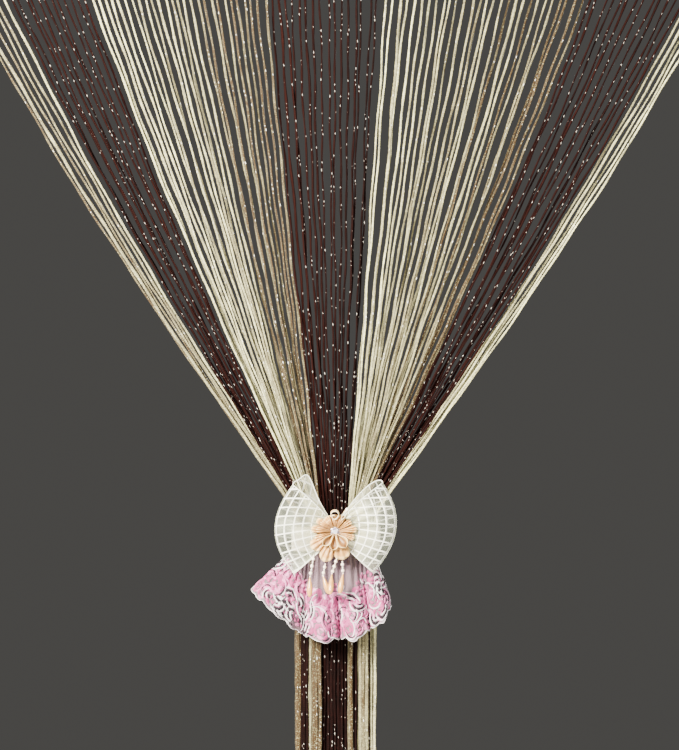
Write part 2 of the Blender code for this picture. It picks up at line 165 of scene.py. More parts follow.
class Skin:
    """The points, faces and cloth coordinates of one piece, gathered part by part."""

    def __init__(self) -> None:
        """Starts with nothing."""
        self.points: list[Vector] = []
        self.tones: list[float] = []
        self.rims: list[float] = []
        self.faces: list[tuple[int, ...]] = []
        self.finishes: list[int] = []
        self.cloth: list[Cloth] = []

    def face(self, corners: Sequence[int], cloth: Sequence[Cloth], finish: int) -> None:
        """Adds one face.

        Args:
            corners: the indices of its points.
            cloth: the cloth coordinates of its corners.
            finish: the number of its finish.
        """
        self.faces.append(tuple(corners))
        self.cloth.extend(cloth)
        self.finishes.append(finish)

    def grid(
        self,
        rows: Sequence[Line],
        cloth: Callable[[int, int], Cloth],
        finish: Spread = 0,
        tone: Spread = 0.0,
        rim: Spread = 0.0,
        ring: bool = False,
        returning: bool = False,
        capped: bool = False,
    ) -> None:
        """Adds a skin over rows of points.

        Args:
            rows: the points, row by row.
            cloth: the cloth coordinates of row and column numbers, which run one past a
                closed side.
            finish: the number of its finish.
            tone: the shade that its points carry, from light to deep.
            rim: how near each point is to an edge of the cloth.
            ring: whether each row closes on itself.
            returning: whether the last row joins the first.
            capped: whether the first and last rows are closed with a face.
        """
        start, width = len(self.points), len(rows[0])
        for number, row in enumerate(rows):
            self.points.extend(row)
            self.tones.extend(spread_at(tone, number, column) for column in range(width))
            self.rims.extend(spread_at(rim, number, column) for column in range(width))
        for row in range(len(rows) if returning else len(rows) - 1):
            low = start + row * width
            high = start + (row + 1) % len(rows) * width
            for column in range(width if ring else width - 1):
                beside = (column + 1) % width
                corners = (low + column, low + beside, high + beside, high + column)
                outline = [cloth(row + down, column + over) for down, over in CORNERS]
                self.face(corners, outline, int(spread_at(finish, row, column)))
        if capped:
            for row in (0, len(rows) - 1):
                columns = range(width)
                corners = [start + row * width + column for column in columns]
                outline = [cloth(row, column) for column in columns]
                self.face(corners, outline, int(spread_at(finish, row, 0)))

    def sweep(
        self,
        line: Line,
        size: Callable[[int], Pair],
        sides: int,
        across: Callable[[int], Vector],
        finish: int = 0,
        tone: Spread = 0.0,
        closed: bool = False,
    ) -> None:
        """Adds a yarn, cord or turned form along a line.

        Args:
            line: the points that its middle follows.
            size: half width and half depth at each point.
            sides: how many sides it has.
            across: the direction of its width at each point.
            finish: the number of its finish.
            tone: the shade that its points carry.
            closed: whether the line runs back to its start.
        """
        rows, last = [], len(line) - 1
        angles = circle(sides)
        for index, centre in enumerate(line):
            if closed:
                along = line[(index + 1) % len(line)] - line[index - 1]
            else:
                along = line[min(index + 1, last)] - line[max(index - 1, 0)]
            along.normalize()
            side = across(index)
            side = (side - along * side.dot(along)).normalized()
            deep = along.cross(side)
            wide, thick = size(index)
            rows.append([centre + side * (wide * cos(a)) + deep * (thick * sin(a)) for a in angles])
        far = distances(list(line) + [line[0]])
        girth = pi * sum(size(last // 2))
        self.grid(
            rows,
            lambda row, column: (girth * column / sides, far[row]),
            finish,
            tone,
            lambda row, column: cos(TURN * column / sides) ** 2,
            ring=True,
            returning=closed,
            capped=not closed,
        )

    def cord(self, line: Line, radius: float, sides: int = 6, **looks: float) -> None:
        """Adds a round cord that follows a line."""
        way = FRONT + RIGHT
        self.sweep(line, lambda index: (radius, radius), sides, lambda index: way, **looks)

    def turned(
        self, foot: Vector, tip: Vector, profile: Sequence[Pair], sides: int = 14, finish: int = 0
    ) -> None:
        """Adds a form that is round about the line from foot to tip.

        Args:
            foot: where the profile starts.
            tip: where the profile ends.
            profile: the share of the way to the tip and the radius, ring by ring.
            sides: how many sides it has.
            finish: the number of its finish.
        """
        line = [foot.lerp(tip, share) for share, radius in profile]
        radii = [max(radius, LEAST_RADIUS) for share, radius in profile]
        way = RIGHT if abs((tip - foot).normalized().x) < 0.8 else UP
        self.sweep(line, lambda row: (radii[row], radii[row]), sides, lambda row: way, finish)

    def ball(self, centre: Vector, radius: float, sides: int = 14, finish: int = 0) -> None:
        """Adds a bead.

        Args:
            centre: its middle.
            radius: its radius.
            sides: how many sides it has round and, halved, from pole to pole.
            finish: the number of its finish.
        """
        angles = [pi * share for share in steps(sides // 2 + 2)]
        profile = [(0.5 - 0.5 * cos(angle), radius * sin(angle)) for angle in angles]
        reach = UP * radius
        self.turned(centre + reach, centre - reach, profile, sides, finish)


@dataclass(frozen=True)
class Finish:
    """What every finish has. Numbers that hold all over a surface go to the shader itself."""

    name: str
    roughness: float
    sheen: float = 0.0
    gloss: float = 0.5
    coat: float = 0.0
    metallic: float = 0.0
    subsurface: float = 0.0
    sheen_roughness: float = 0.4
    coat_roughness: float = 0.08
    subsurface_scale: float = 0.001

    def material(self) -> bpy.types.Material:
        """The material of this finish, made when the first piece asks for it.

        Returns:
            The material.
        """
        made = bpy.data.materials.get(self.name)
        if made is None:
            made = bpy.data.materials.new(self.name)
            made.use_nodes = True
            shader = made.node_tree.nodes["Principled BSDF"]
            for socket, number in (
                ("Roughness", self.roughness),
                ("Sheen Weight", self.sheen),
                ("Sheen Roughness", self.sheen_roughness),
                ("Specular IOR Level", self.gloss),
                ("Coat Weight", self.coat),
                ("Coat Roughness", self.coat_roughness),
                ("Metallic", self.metallic),
                ("Subsurface Weight", self.subsurface),
                ("Subsurface Scale", self.subsurface_scale),
            ):
                shader.inputs[socket].default_value = number
            self.dress(Nodes(made.node_tree))
        return made

    def dress(self, nodes: "Nodes") -> None:
        """Adds what changes over the surface; each finish has its own."""
        raise NotImplementedError


class Nodes:
    """Short calls for the shader nodes that the finishes and effects are made from."""

    def __init__(self, tree: Tree) -> None:
        """Keeps the tree that the nodes go into."""
        self.tree = tree

    def feed(self, socket: Socket, value: object) -> None:
        """Links a socket to another, or sets its own value.

        Args:
            socket: the input.
            value: an output socket, a number, a vector or a colour.
        """
        if isinstance(value, bpy.types.NodeSocket):
            self.tree.links.new(value, socket)
        elif socket.type == "RGBA":
            socket.default_value = (*value[:3], 1.0)
        else:
            socket.default_value = value

    def add(self, kind: str, settings: dict[str, object], **inputs: object) -> bpy.types.Node:
        """Adds a node.

        Args:
            kind: the node's type, without its ShaderNode prefix.
            settings: the node's own properties.
            inputs: values or sockets by input name, with _ for a space.

        Returns:
            The node.
        """
        node = self.tree.nodes.new("ShaderNode" + kind)
        for name, value in settings.items():
            setattr(node, name, value)
        for name, value in inputs.items():
            self.feed(node.inputs[name.replace("_", " ")], value)
        return node

    def math(self, operation: str, first: Value, second: Value = 0.0) -> Socket:
        """The result of one Math node.

        Args:
            operation: the Math node's operation.
            first: its first value.
            second: its second value, where it takes one.

        Returns:
            The result's socket.
        """
        node = self.add("Math", {"operation": operation})
        self.feed(node.inputs[0], first)
        self.feed(node.inputs[1], second)
        return node.outputs[0]

    def times(self, first: Value, second: Value) -> Socket:
        """The product of two values."""
        return self.math("MULTIPLY", first, second)

    def plus(self, first: Value, second: Value) -> Socket:
        """The sum of two values."""
        return self.math("ADD", first, second)

    def fit(self, value: Value, low: float, high: float, start: float, end: float) -> Socket:
        """A value moved from one range to another and held to it.

        Args:
            value: what is moved.
            low: the value that gives start.
            high: the value that gives end.
            start: the result at low.
            end: the result at high.

        Returns:
            The result's socket.
        """
        node = self.add("MapRange", {"clamp": True})
        ends = {"From Min": low, "From Max": high, "To Min": start, "To Max": end}
        for name, number in ends.items():
            node.inputs[name].default_value = number
        self.feed(node.inputs["Value"], value)
        return node.outputs["Result"]

    def blend(self, share: Value, low: object, high: object) -> Socket:
        """Two colours mixed.

        Args:
            share: how much of the second.
            low: the first colour.
            high: the second colour.

        Returns:
            The colour's socket.
        """
        node = self.add("Mix", {"data_type": "RGBA"})
        self.feed(node.inputs[MIX_SHARE], share)
        self.feed(node.inputs[MIX_LOW], low)
        self.feed(node.inputs[MIX_HIGH], high)
        return node.outputs[MIX_COLOUR]

    def noise(self, place: Socket, scale: float, detail: float = 2.0) -> Socket:
        """Soft noise from 0 to 1 over a place."""
        made = self.add("TexNoise", {}, Vector=place, Scale=scale, Detail=detail)
        return made.outputs["Fac"]

    def place(self) -> Socket:
        """Where the point is, in metres."""
        return self.add("TexCoord", {}).outputs["Object"]

    def cloth(self) -> Socket:
        """Where the point is on its cloth, in metres."""
        return self.add("TexCoord", {}).outputs["UV"]

    def carried(self, name: str) -> Socket:
        """What the points carry: their tone, or their rim, which is how near an edge they are."""
        return self.add("Attribute", {"attribute_name": name}).outputs["Fac"]

    def effect(self, effect: "Effect", **inputs: object) -> bpy.types.Node:
        """Places a shared effect with this finish's own values and returns the group's node."""
        return self.add("Group", {"node_tree": effect.group()}, **inputs)

    def streaks(self, cloth: Socket, fibres: Pair) -> Socket:
        """Fibre streaks, so many to a metre across the cloth and along it."""
        placed = self.effect(Effect.STREAKED, Cloth=cloth, Across=fibres[0], Along=fibres[1])
        return placed.outputs["Streak"]

    def drift(self, colour: object, deeper: object, amount: float, patches: float) -> Socket:
        """A colour that drifts to a deeper one by an amount, in so many patches to a metre."""
        looks = {"Colour": colour, "Deeper": deeper, "Amount": amount, "Patches": patches}
        return self.effect(Effect.UNEVEN, Place=self.place(), **looks).outputs["Colour"]

    def paint(self, name: str, value: object) -> None:
        """Feeds one of the shader's own inputs."""
        self.feed(self.tree.nodes["Principled BSDF"].inputs[name], value)

    def relief(self, height: Socket, depth: float) -> None:
        """Raises the surface by a height, depth metres for each unit of it."""
        node = self.add("Bump", {}, Height=height, Distance=depth, Strength=BUMP_STRENGTH)
        self.paint("Normal", node.outputs["Normal"])


class Effect(Enum):
    """The surface effects that more than one finish uses."""

    WOVEN = "woven threads"
    STITCHED = "slanted stitches"
    STREAKED = "fibre streaks"
    UNEVEN = "uneven dye"

    def group(self) -> Tree:
        """The effect's node group, made when the first finish asks for it.

        Returns:
            The group.
        """
        made = bpy.data.node_groups.get(self.value)
        if made is None:
            made = bpy.data.node_groups.new(self.value, "ShaderNodeTree")
            EFFECT_MAKERS[self](made)
        return made


def effect_ends(
    tree: Tree, inputs: Sequence[tuple[str, str, object]], outputs: Sequence[tuple[str, str]]
) -> tuple[bpy.types.Node, bpy.types.Node]:
    """Gives an effect its named sockets.

    Args:
        tree: the node group.
        inputs: name, kind and first value of each input.
        outputs: name and kind of each output.

    Returns:
        The group's input and output nodes.
    """
    for name, kind, first in inputs:
        socket = tree.interface.new_socket(name, in_out="INPUT", socket_type="NodeSocket" + kind)
        if first is not None:
            socket.default_value = first
    for name, kind in outputs:
        tree.interface.new_socket(name, in_out="OUTPUT", socket_type="NodeSocket" + kind)
    return tree.nodes.new("NodeGroupInput"), tree.nodes.new("NodeGroupOutput")


def make_woven(tree: Tree) -> None:
    """Threads that pass over and under each other, and where they leave cloth open.

    Args:
        tree: the node group to fill.
    """
    given, result = effect_ends(
        tree,
        (("Cloth", "Vector", None), ("Pitch", "Float", 0.001), ("Gap", "Float", 0.4)),
        (("Height", "Float"), ("Cover", "Float")),
    )
    nodes = Nodes(tree)
    parts = nodes.add("SeparateXYZ", {}, Vector=given.outputs["Cloth"])
    waves = []
    for axis in ("X", "Y"):
        turned = nodes.math("DIVIDE", parts.outputs[axis], given.outputs["Pitch"])
        waves.append(nodes.math("SINE", nodes.times(turned, pi)))
    over = nodes.math("GREATER_THAN", nodes.times(*waves), 0.0)
    warp, weft = (nodes.math("ABSOLUTE", wave) for wave in waves)
    under = nodes.math("SUBTRACT", 1.0, over)
    height = nodes.plus(nodes.times(warp, over), nodes.times(weft, under))
    fullest = nodes.math("SUBTRACT", nodes.math("MAXIMUM", warp, weft), given.outputs["Gap"])
    sharpness = 5.0
    cover = nodes.math("MAXIMUM", nodes.times(fullest, sharpness), 0.0)
    cover = nodes.math("MINIMUM", cover, 1.0)
    nodes.feed(result.inputs["Height"], height)
    nodes.feed(result.inputs["Cover"], cover)


def make_stitched(tree: Tree) -> None:
    """Slanted stitches that meet in a V, as on a knitted yarn.

    Args:
        tree: the node group to fill.
    """
    given, result = effect_ends(
        tree,
        (("Cloth", "Vector", None), ("Pitch", "Float", 0.002), ("Width", "Float", 0.004)),
        (("Height", "Float"), ("Groove", "Float")),
    )
    nodes = Nodes(tree)
    parts = nodes.add("SeparateXYZ", {}, Vector=given.outputs["Cloth"])
    across = nodes.math("FRACT", nodes.math("DIVIDE", parts.outputs["X"], given.outputs["Width"]))
    arm = nodes.math("ABSOLUTE", nodes.math("SUBTRACT", across, 0.5))
    along = nodes.math("DIVIDE", parts.outputs["Y"], given.outputs["Pitch"])
    slant = 1.6
    phase = nodes.times(nodes.plus(along, nodes.times(arm, slant)), pi)
    height = nodes.math("ABSOLUTE", nodes.math("SINE", phase))
    spine = nodes.fit(arm, 0.0, 0.12, 0.35, 1.0)
    height = nodes.times(height, spine)
    nodes.feed(result.inputs["Height"], height)
    nodes.feed(result.inputs["Groove"], nodes.fit(height, 0.0, 0.5, 1.0, 0.0))


def make_streaked(tree: Tree) -> None:
    """Fine fibres that run along the cloth.

    Args:
        tree: the node group to fill.
    """
    given, result = effect_ends(
        tree,
        (("Cloth", "Vector", None), ("Across", "Float", 3000.0), ("Along", "Float", 150.0)),
        (("Streak", "Float"),),
    )
    nodes = Nodes(tree)
    parts = nodes.add("SeparateXYZ", {}, Vector=given.outputs["Cloth"])
    drawn = nodes.add(
        "CombineXYZ",
        {},
        X=nodes.times(parts.outputs["X"], given.outputs["Across"]),
        Y=nodes.times(parts.outputs["Y"], given.outputs["Along"]),
    )
    nodes.feed(result.inputs["Streak"], nodes.noise(drawn.outputs["Vector"], 1.0, 3.0))


def make_uneven(tree: Tree) -> None:
    """A colour that drifts to a deeper one in soft patches.

    Args:
        tree: the node group to fill.
    """
    given, result = effect_ends(
        tree,
        (
            ("Place", "Vector", None),
            ("Colour", "Color", (0.8, 0.8, 0.8, 1.0)),
            ("Deeper", "Color", (0.5, 0.5, 0.5, 1.0)),
            ("Amount", "Float", 0.5),
            ("Patches", "Float", 40.0),
        ),
        (("Colour", "Color"),),
    )
    nodes = Nodes(tree)
    soft = nodes.noise(given.outputs["Place"], given.outputs["Patches"], 3.0)
    share = nodes.times(nodes.fit(soft, 0.35, 0.68, 0.0, 1.0), given.outputs["Amount"])
    drifted = nodes.blend(share, given.outputs["Colour"], given.outputs["Deeper"])
    nodes.feed(result.inputs["Colour"], drifted)


EFFECT_MAKERS = {
    Effect.WOVEN: make_woven,
    Effect.STITCHED: make_stitched,
    Effect.STREAKED: make_streaked,
    Effect.UNEVEN: make_uneven,
}


@dataclass(frozen=True)
class YarnFinish(Finish):
    """Flat knitted yarn, whose tone runs from its light to its deep colour."""

    light: Colour = (0.8, 0.8, 0.8)
    deep: Colour = (0.5, 0.5, 0.5)
    # The colour of the painted shade on the edges and in the stitch gaps, and of the darker fibre
    # streaks.
    shadow: Colour = (0.2, 0.2, 0.2)
    width: float = 0.0029
    stitch: float = 0.0024
    column: float = 0.0042
    fibres: Pair = (2600.0, 220.0)
    drifts: tuple[Pair, ...] = ((0.30, 55.0), (0.50, 400.0))
    grains: float = 760.0
    # How many patches to a metre the painted shade on the yarn's edges comes in.
    edge_shade_patches: float = 330.0

    def dress(self, nodes: Nodes) -> None:
        """Dyes the yarn, and paints shade on its curled edges and in the gaps between its stitches.

        Args:
            nodes: the material's nodes.
        """
        cloth = nodes.cloth()
        knit = nodes.effect(Effect.STITCHED, Cloth=cloth, Pitch=self.stitch, Width=self.column)
        streak = nodes.streaks(cloth, self.fibres)
        surface_colour = nodes.blend(nodes.math("POWER", nodes.carried("tone"), 0.7), self.light, self.deep)
        for amount, patches in self.drifts:
            surface_colour = nodes.drift(surface_colour, self.deep, amount, patches)
        grains = nodes.fit(nodes.noise(nodes.place(), self.grains), 0.56, 0.70, 0.0, 0.30)
        surface_colour = nodes.blend(grains, surface_colour, self.light)
        surface_colour = nodes.blend(nodes.fit(streak, 0.42, 0.74, 0.0, 0.5), surface_colour, self.shadow)
        # Painted shade in the gaps between the stitches.
        surface_colour = nodes.blend(nodes.times(knit.outputs["Groove"], 0.35), surface_colour, self.shadow)
        # Painted shade: the yarn's side edges, where neighbouring strands overlap, are darkened
        # towards the shadow colour in uneven patches.
        edge_shade_patches = nodes.fit(nodes.noise(nodes.place(), self.edge_shade_patches), 0.35, 0.62, 0.25, 1.05)
        edge = nodes.times(nodes.fit(nodes.carried("rim"), 0.26, 0.80, 0.0, 0.95), edge_shade_patches)
        nodes.paint("Base Color", nodes.blend(edge, surface_colour, self.shadow))
        nodes.relief(nodes.plus(knit.outputs["Height"], streak), 0.0005)
        smoothest, roughest = self.roughness - 0.12, self.roughness + 0.12
        nodes.paint("Roughness", nodes.fit(streak, 0.3, 0.7, smoothest, roughest))


@dataclass(frozen=True)
class TapeFinish(Finish):
    """Close plain weave, as of the heading and the strap."""

    colour: Colour = (0.8, 0.8, 0.8)
    deeper: Colour = (0.5, 0.5, 0.5)
    thread: float = 0.0007
    fibres: Pair = (1800.0, 120.0)

    def dress(self, nodes: Nodes) -> None:
        """Weaves the tape, with slubs along its threads and painted shade between them.

        Args:
            nodes: the material's nodes.
        """
        cloth = nodes.cloth()
        weave = nodes.effect(Effect.WOVEN, Cloth=cloth, Pitch=self.thread, Gap=0.3)
        streak = nodes.streaks(cloth, self.fibres)
        surface_colour = nodes.drift(self.colour, self.deeper, 0.5, 25.0)
        # Painted shade between the threads, where the weave sinks.
        between = nodes.fit(weave.outputs["Height"], 0.2, 0.9, 0.45, 0.0)
        surface_colour = nodes.blend(between, surface_colour, self.deeper)
        slubs = nodes.fit(streak, 0.45, 0.75, 0.0, 0.4)
        nodes.paint("Base Color", nodes.blend(slubs, surface_colour, self.deeper))
        nodes.relief(nodes.plus(weave.outputs["Height"], streak), 0.0003)


@dataclass(frozen=True)
class OrganzaFinish(Finish):
    """Sheer ribbon with thicker white threads woven in as a check."""

    ground: Colour = (0.70, 0.75, 0.56)
    creamy: Colour = (0.78, 0.74, 0.42)
    line: Colour = (0.92, 0.92, 0.80)
    cell: float = 0.0105
    line_share: float = 0.15
    thin: float = 0.07
    full: float = 0.56
    front_line: float = 0.97
    back_line: float = 0.40
    fold: float = 0.80
    mesh: float = 0.0011
    looseness: float = 0.34

    def dress(self, nodes: Nodes) -> None:
        """Sets the check lines in the sheer ground, which is whiter at the loop's outer fold.

        Args:
            nodes: the material's nodes.
        """
        cloth = nodes.cloth()
        weave = nodes.effect(Effect.WOVEN, Cloth=cloth, Pitch=self.mesh, Gap=0.45)
        parts = nodes.add("SeparateXYZ", {}, Vector=cloth)
        lines = None
        for axis in ("X", "Y"):
            cell = nodes.math("FRACT", nodes.math("DIVIDE", parts.outputs[axis], self.cell))
            off = nodes.math("ABSOLUTE", nodes.math("SUBTRACT", cell, 0.5))
            line = nodes.fit(off, 0.4 * self.line_share, 0.6 * self.line_share, 1.0, 0.0)
            lines = line if lines is None else nodes.math("MAXIMUM", lines, line)
        outward = nodes.carried("tone")
        surface_colour = nodes.blend(nodes.fit(outward, 0.15, 0.80, 0.0, 1.0), self.creamy, self.ground)
        surface_colour = nodes.drift(surface_colour, darkened(self.ground, 0.78), 0.6, 60.0)
        nodes.paint("Base Color", nodes.blend(lines, surface_colour, self.line))
        loose = nodes.times(outward, self.looseness)
        opened = nodes.plus(nodes.noise(nodes.place(), 30.0), loose)
        folded = nodes.fit(opened, 0.46, 0.84, self.full, self.thin)
        sheer = nodes.times(folded, nodes.fit(weave.outputs["Cover"], 0.0, 1.0, 0.7, 1.0))
        strength = nodes.fit(nodes.carried("rim"), 0.0, 1.0, self.front_line, self.back_line)
        shown = nodes.math("MAXIMUM", sheer, nodes.times(lines, strength))
        fold = nodes.fit(outward, 0.985, 1.0, 0.0, self.fold)
        nodes.paint("Alpha", nodes.math("MAXIMUM", shown, fold))
        nodes.relief(nodes.plus(nodes.times(lines, 2.0), weave.outputs["Height"]), 0.0003)


@dataclass(frozen=True)
class SatinFinish(Finish):
    """Satin with painted shade in its creases and a painted highlight along its folded rims."""

    # The pale colour is the painted highlight, the deep one the painted shade.
    pale: Colour = (0.80, 0.59, 0.27)
    colour: Colour = (0.65, 0.32, 0.078)
    deep: Colour = (0.165, 0.062, 0.011)
    fibres: Pair = (2200.0, 180.0)

    def dress(self, nodes: Nodes) -> None:
        """Shades the satin from its pale to its deep colour, as painted highlight and painted
        shade.

        Args:
            nodes: the material's nodes.
        """
        streak = nodes.streaks(nodes.cloth(), self.fibres)
        # The tone is painted shade: deep at the petals' roots, in their creases and at their tucked
        # sides.
        surface_colour = nodes.blend(nodes.carried("tone"), self.colour, self.deep)
        surface_colour = nodes.drift(surface_colour, self.deep, 0.3, 150.0)
        # Painted highlight along the folded rims.
        surface_colour = nodes.blend(nodes.times(nodes.carried("rim"), 0.8), surface_colour, self.pale)
        # Painted sheen along the fibre streaks.
        shine = nodes.fit(streak, 0.45, 0.75, 0.0, 0.2)
        nodes.paint("Base Color", nodes.blend(shine, surface_colour, self.pale))
        nodes.relief(streak, 0.0002)


@dataclass(frozen=True)
class NetFinish(Finish):
    """Fine net, open between its threads."""

    thread: Colour = (0.29, 0.19, 0.232)
    mesh: float = 0.0013
    gap: float = 0.62
    veil: float = 0.24
    solid: float = 0.80

    def dress(self, nodes: Nodes) -> None:
        """Opens the net between its threads, over a faint veil.

        Args:
            nodes: the material's nodes.
        """
        slanted = nodes.add("Mapping", {"vector_type": "POINT"}, Vector=nodes.cloth())
        slanted.inputs["Rotation"].default_value[2] = 0.25 * pi
        cloth = slanted.outputs["Vector"]
        net = nodes.effect(Effect.WOVEN, Cloth=cloth, Pitch=self.mesh, Gap=self.gap)
        nodes.paint("Base Color", nodes.drift(self.thread, darkened(self.thread, 0.62), 0.7, 45.0))
        nodes.paint("Alpha", nodes.fit(net.outputs["Cover"], 0.0, 1.0, self.veil, self.solid))
        nodes.relief(net.outputs["Height"], 0.0004)


@dataclass(frozen=True)
class ThreadFinish(Finish):
    """Satin stitch in one colour of embroidery thread."""

    colour: Colour = (0.8, 0.8, 0.8)
    deeper: Colour = (0.5, 0.5, 0.5)
    thread: float = 0.0007
    fibres: Pair = (400.0, 2400.0)

    def dress(self, nodes: Nodes) -> None:
        """Lays the threads side by side, with painted shade in the grooves between them.

        Args:
            nodes: the material's nodes.
        """
        cloth = nodes.cloth()
        streak = nodes.streaks(cloth, self.fibres)
        stitch = nodes.effect(Effect.STITCHED, Cloth=cloth, Pitch=self.thread, Width=0.02)
        surface_colour = nodes.drift(self.colour, self.deeper, 0.6, 130.0)
        surface_colour = nodes.blend(nodes.fit(streak, 0.42, 0.7, 0.0, 0.5), surface_colour, self.deeper)
        # Painted shade in the grooves between the stitches.
        groove_shade = nodes.times(stitch.outputs["Groove"], 0.4)
        nodes.paint("Base Color", nodes.blend(groove_shade, surface_colour, self.deeper))
        nodes.relief(nodes.plus(stitch.outputs["Height"], streak), 0.0003)


@dataclass(frozen=True)
class LustreFinish(Finish):
    """A smooth bead, drop, stone or metal, faintly clouded."""

    colour: Colour = (0.9, 0.85, 0.75)
    edge: Colour = (0.8, 0.6, 0.6)

    def dress(self, nodes: Nodes) -> None:
        """Clouds the surface and scuffs it a little.

        Args:
            nodes: the material's nodes.
        """
        worn = nodes.noise(nodes.place(), 900.0)
        nodes.paint("Base Color", nodes.drift(self.colour, self.edge, 0.6, 330.0))
        nodes.paint("Roughness", nodes.fit(worn, 0.3, 0.7, self.roughness, self.roughness + 0.10))
        nodes.relief(worn, 0.00003)


@dataclass(frozen=True)
class FoilFinish(Finish):
    """Slips of foil, some of them painted dim, as if they caught less light."""

    colour: Colour = (0.9, 0.9, 0.9)
    dim: Colour = (0.3, 0.25, 0.25)

    def dress(self, nodes: Nodes) -> None:
        """Dims the foil by its tone, as painted shade, and crinkles it.

        Args:
            nodes: the material's nodes.
        """
        crinkle = nodes.noise(nodes.place(), 1500.0)
        share = nodes.times(nodes.carried("tone"), nodes.fit(crinkle, 0.3, 0.7, 0.7, 1.2))
        nodes.paint("Base Color", nodes.blend(share, self.colour, self.dim))
        smoothest, roughest = self.roughness - 0.1, self.roughness + 0.15
        nodes.paint("Roughness", nodes.fit(crinkle, 0.3, 0.7, smoothest, roughest))
        nodes.relief(crinkle, 0.0003)


@dataclass(frozen=True)
class PlainFinish(Finish):
    """The studio's own matt paint."""

    colour: Colour = (0.8, 0.8, 0.8)

    def dress(self, nodes: Nodes) -> None:
        """Paints the surface with a faint drift of tone."""
        nodes.paint("Base Color", nodes.drift(self.colour, darkened(self.colour, 0.94), 0.6, 1.5))


IVORY = YarnFinish(
    "ivory_yarn",
    0.55,
    sheen=0.04,
    gloss=0.20,
    light=(0.97, 0.95, 0.52),
    deep=(0.046, 0.023, 0.005),
    shadow=(0.035, 0.026, 0.012),
)
BROWN = YarnFinish(
    "brown_yarn",
    0.65,
    sheen=0.0,
    gloss=0.03,
    width=0.0025,
    light=(0.0030, 0.0014, 0.0012),
    deep=(0.0155, 0.0032, 0.0022),
    shadow=(0.002, 0.001, 0.001),
)
SILVER = FoilFinish(
    "silver_fleck", 0.35, metallic=0.2, colour=(0.45, 0.41, 0.37), dim=(0.06, 0.040, 0.035)
)
# Painted highlights: near-white slips, not metal, on the cream yarn, which stand in for the glints
# of its shiny thread.
IVORY_PAINTED_GLINT = FoilFinish(
    "ivory_painted_glint", 0.35, gloss=0.8, colour=(0.97, 0.96, 0.90), dim=(0.80, 0.76, 0.60)
)
HEADING, STRAP = (
    TapeFinish(name, roughness, sheen, colour=colour, deeper=deeper)
    for name, roughness, sheen, colour, deeper in (
        ("heading_tape", 0.8, 0.1, (0.80, 0.71, 0.50), (0.52, 0.42, 0.24)),
        ("strap_ribbon", 0.5, 0.2, (0.84, 0.79, 0.62), (0.58, 0.50, 0.34)),
    )
)
SEWING, EDGING, PINK, PALE_PINK, WHITE = (
    ThreadFinish(name, roughness, 0.1, colour=colour, deeper=deeper)
    for name, roughness, colour, deeper in (
        ("sewing_thread", 0.5, (0.86, 0.78, 0.56), (0.56, 0.46, 0.28)),
        ("ribbon_edging", 0.45, (0.92, 0.93, 0.82), (0.70, 0.72, 0.58)),
        ("pink_thread", 0.45, (0.46, 0.064, 0.22), (0.26, 0.029, 0.11)),
        ("pale_pink_thread", 0.45, (0.68, 0.22, 0.43), (0.45, 0.10, 0.25)),
        ("white_thread", 0.45, (0.88, 0.84, 0.86), (0.36, 0.31, 0.35)),
    )
)
# Painted shadow: dark crescents laid inside the white and pale arcs, as the shadow of their raised
# stitching.
CHARCOAL_SHADOW = ThreadFinish(
    "charcoal_shadow_thread", 0.6, gloss=0.2, colour=(0.028, 0.018, 0.024), deeper=(0.010, 0.007, 0.010)
)
ORGANZA = OrganzaFinish("check_organza", 0.42, 0.1)
NET = NetFinish("lilac_net", 0.6)
PEACH = SatinFinish("petal_satin", 0.38, 0.1)
PALE_PEACH = SatinFinish(
    "loop_satin",
    0.38,
    0.1,
    pale=(0.86, 0.77, 0.54),
    colour=(0.79, 0.58, 0.31),
    deep=(0.42, 0.21, 0.06),
)
PEARL, AMBER, FACET_BRIGHT_REFLECTION, FACET_DARK_REFLECTION, STONE_CUP = (
    LustreFinish(
        name, rough, coat=coat, metallic=metallic, subsurface=depth, colour=colour, edge=edge
    )
    for name, rough, coat, metallic, depth, colour, edge in (
        ("pearl_bead", 0.18, 0.6, 0.0, 0.1, (0.94, 0.88, 0.74), (0.80, 0.55, 0.42)),
        ("peach_drop", 0.22, 0.5, 0.0, 0.15, (0.66, 0.34, 0.086), (0.44, 0.19, 0.045)),
        # Painted reflections: the crystal's facets are made bright or dark by turns.
        ("facet_bright_reflection", 0.06, 1.0, 0.5, 0.0, (0.97, 0.96, 1.0), (0.80, 0.78, 0.95)),
        ("facet_dark_reflection", 0.06, 1.0, 0.3, 0.0, (0.04, 0.02, 0.10), (0.25, 0.20, 0.40)),
        ("stone_cup", 0.22, 0.0, 1.0, 0.0, (0.80, 0.78, 0.76), (0.60, 0.58, 0.58)),
    )
)
FLOOR = PlainFinish("pale_floor", 0.7, colour=(0.56, 0.55, 0.53))


class Slot(Enum):
    """The record's material slots."""

    HEADING = "woven_heading"
    IVORY = "ivory"
    CHAMPAGNE = "champagne"
    BROWN = "brown"
    ORGANZA = "organza"
    SATIN = "peach_satin"
    LACE = "pink_lace"
    PEARL = "pearl"
    STONE = "crystal"


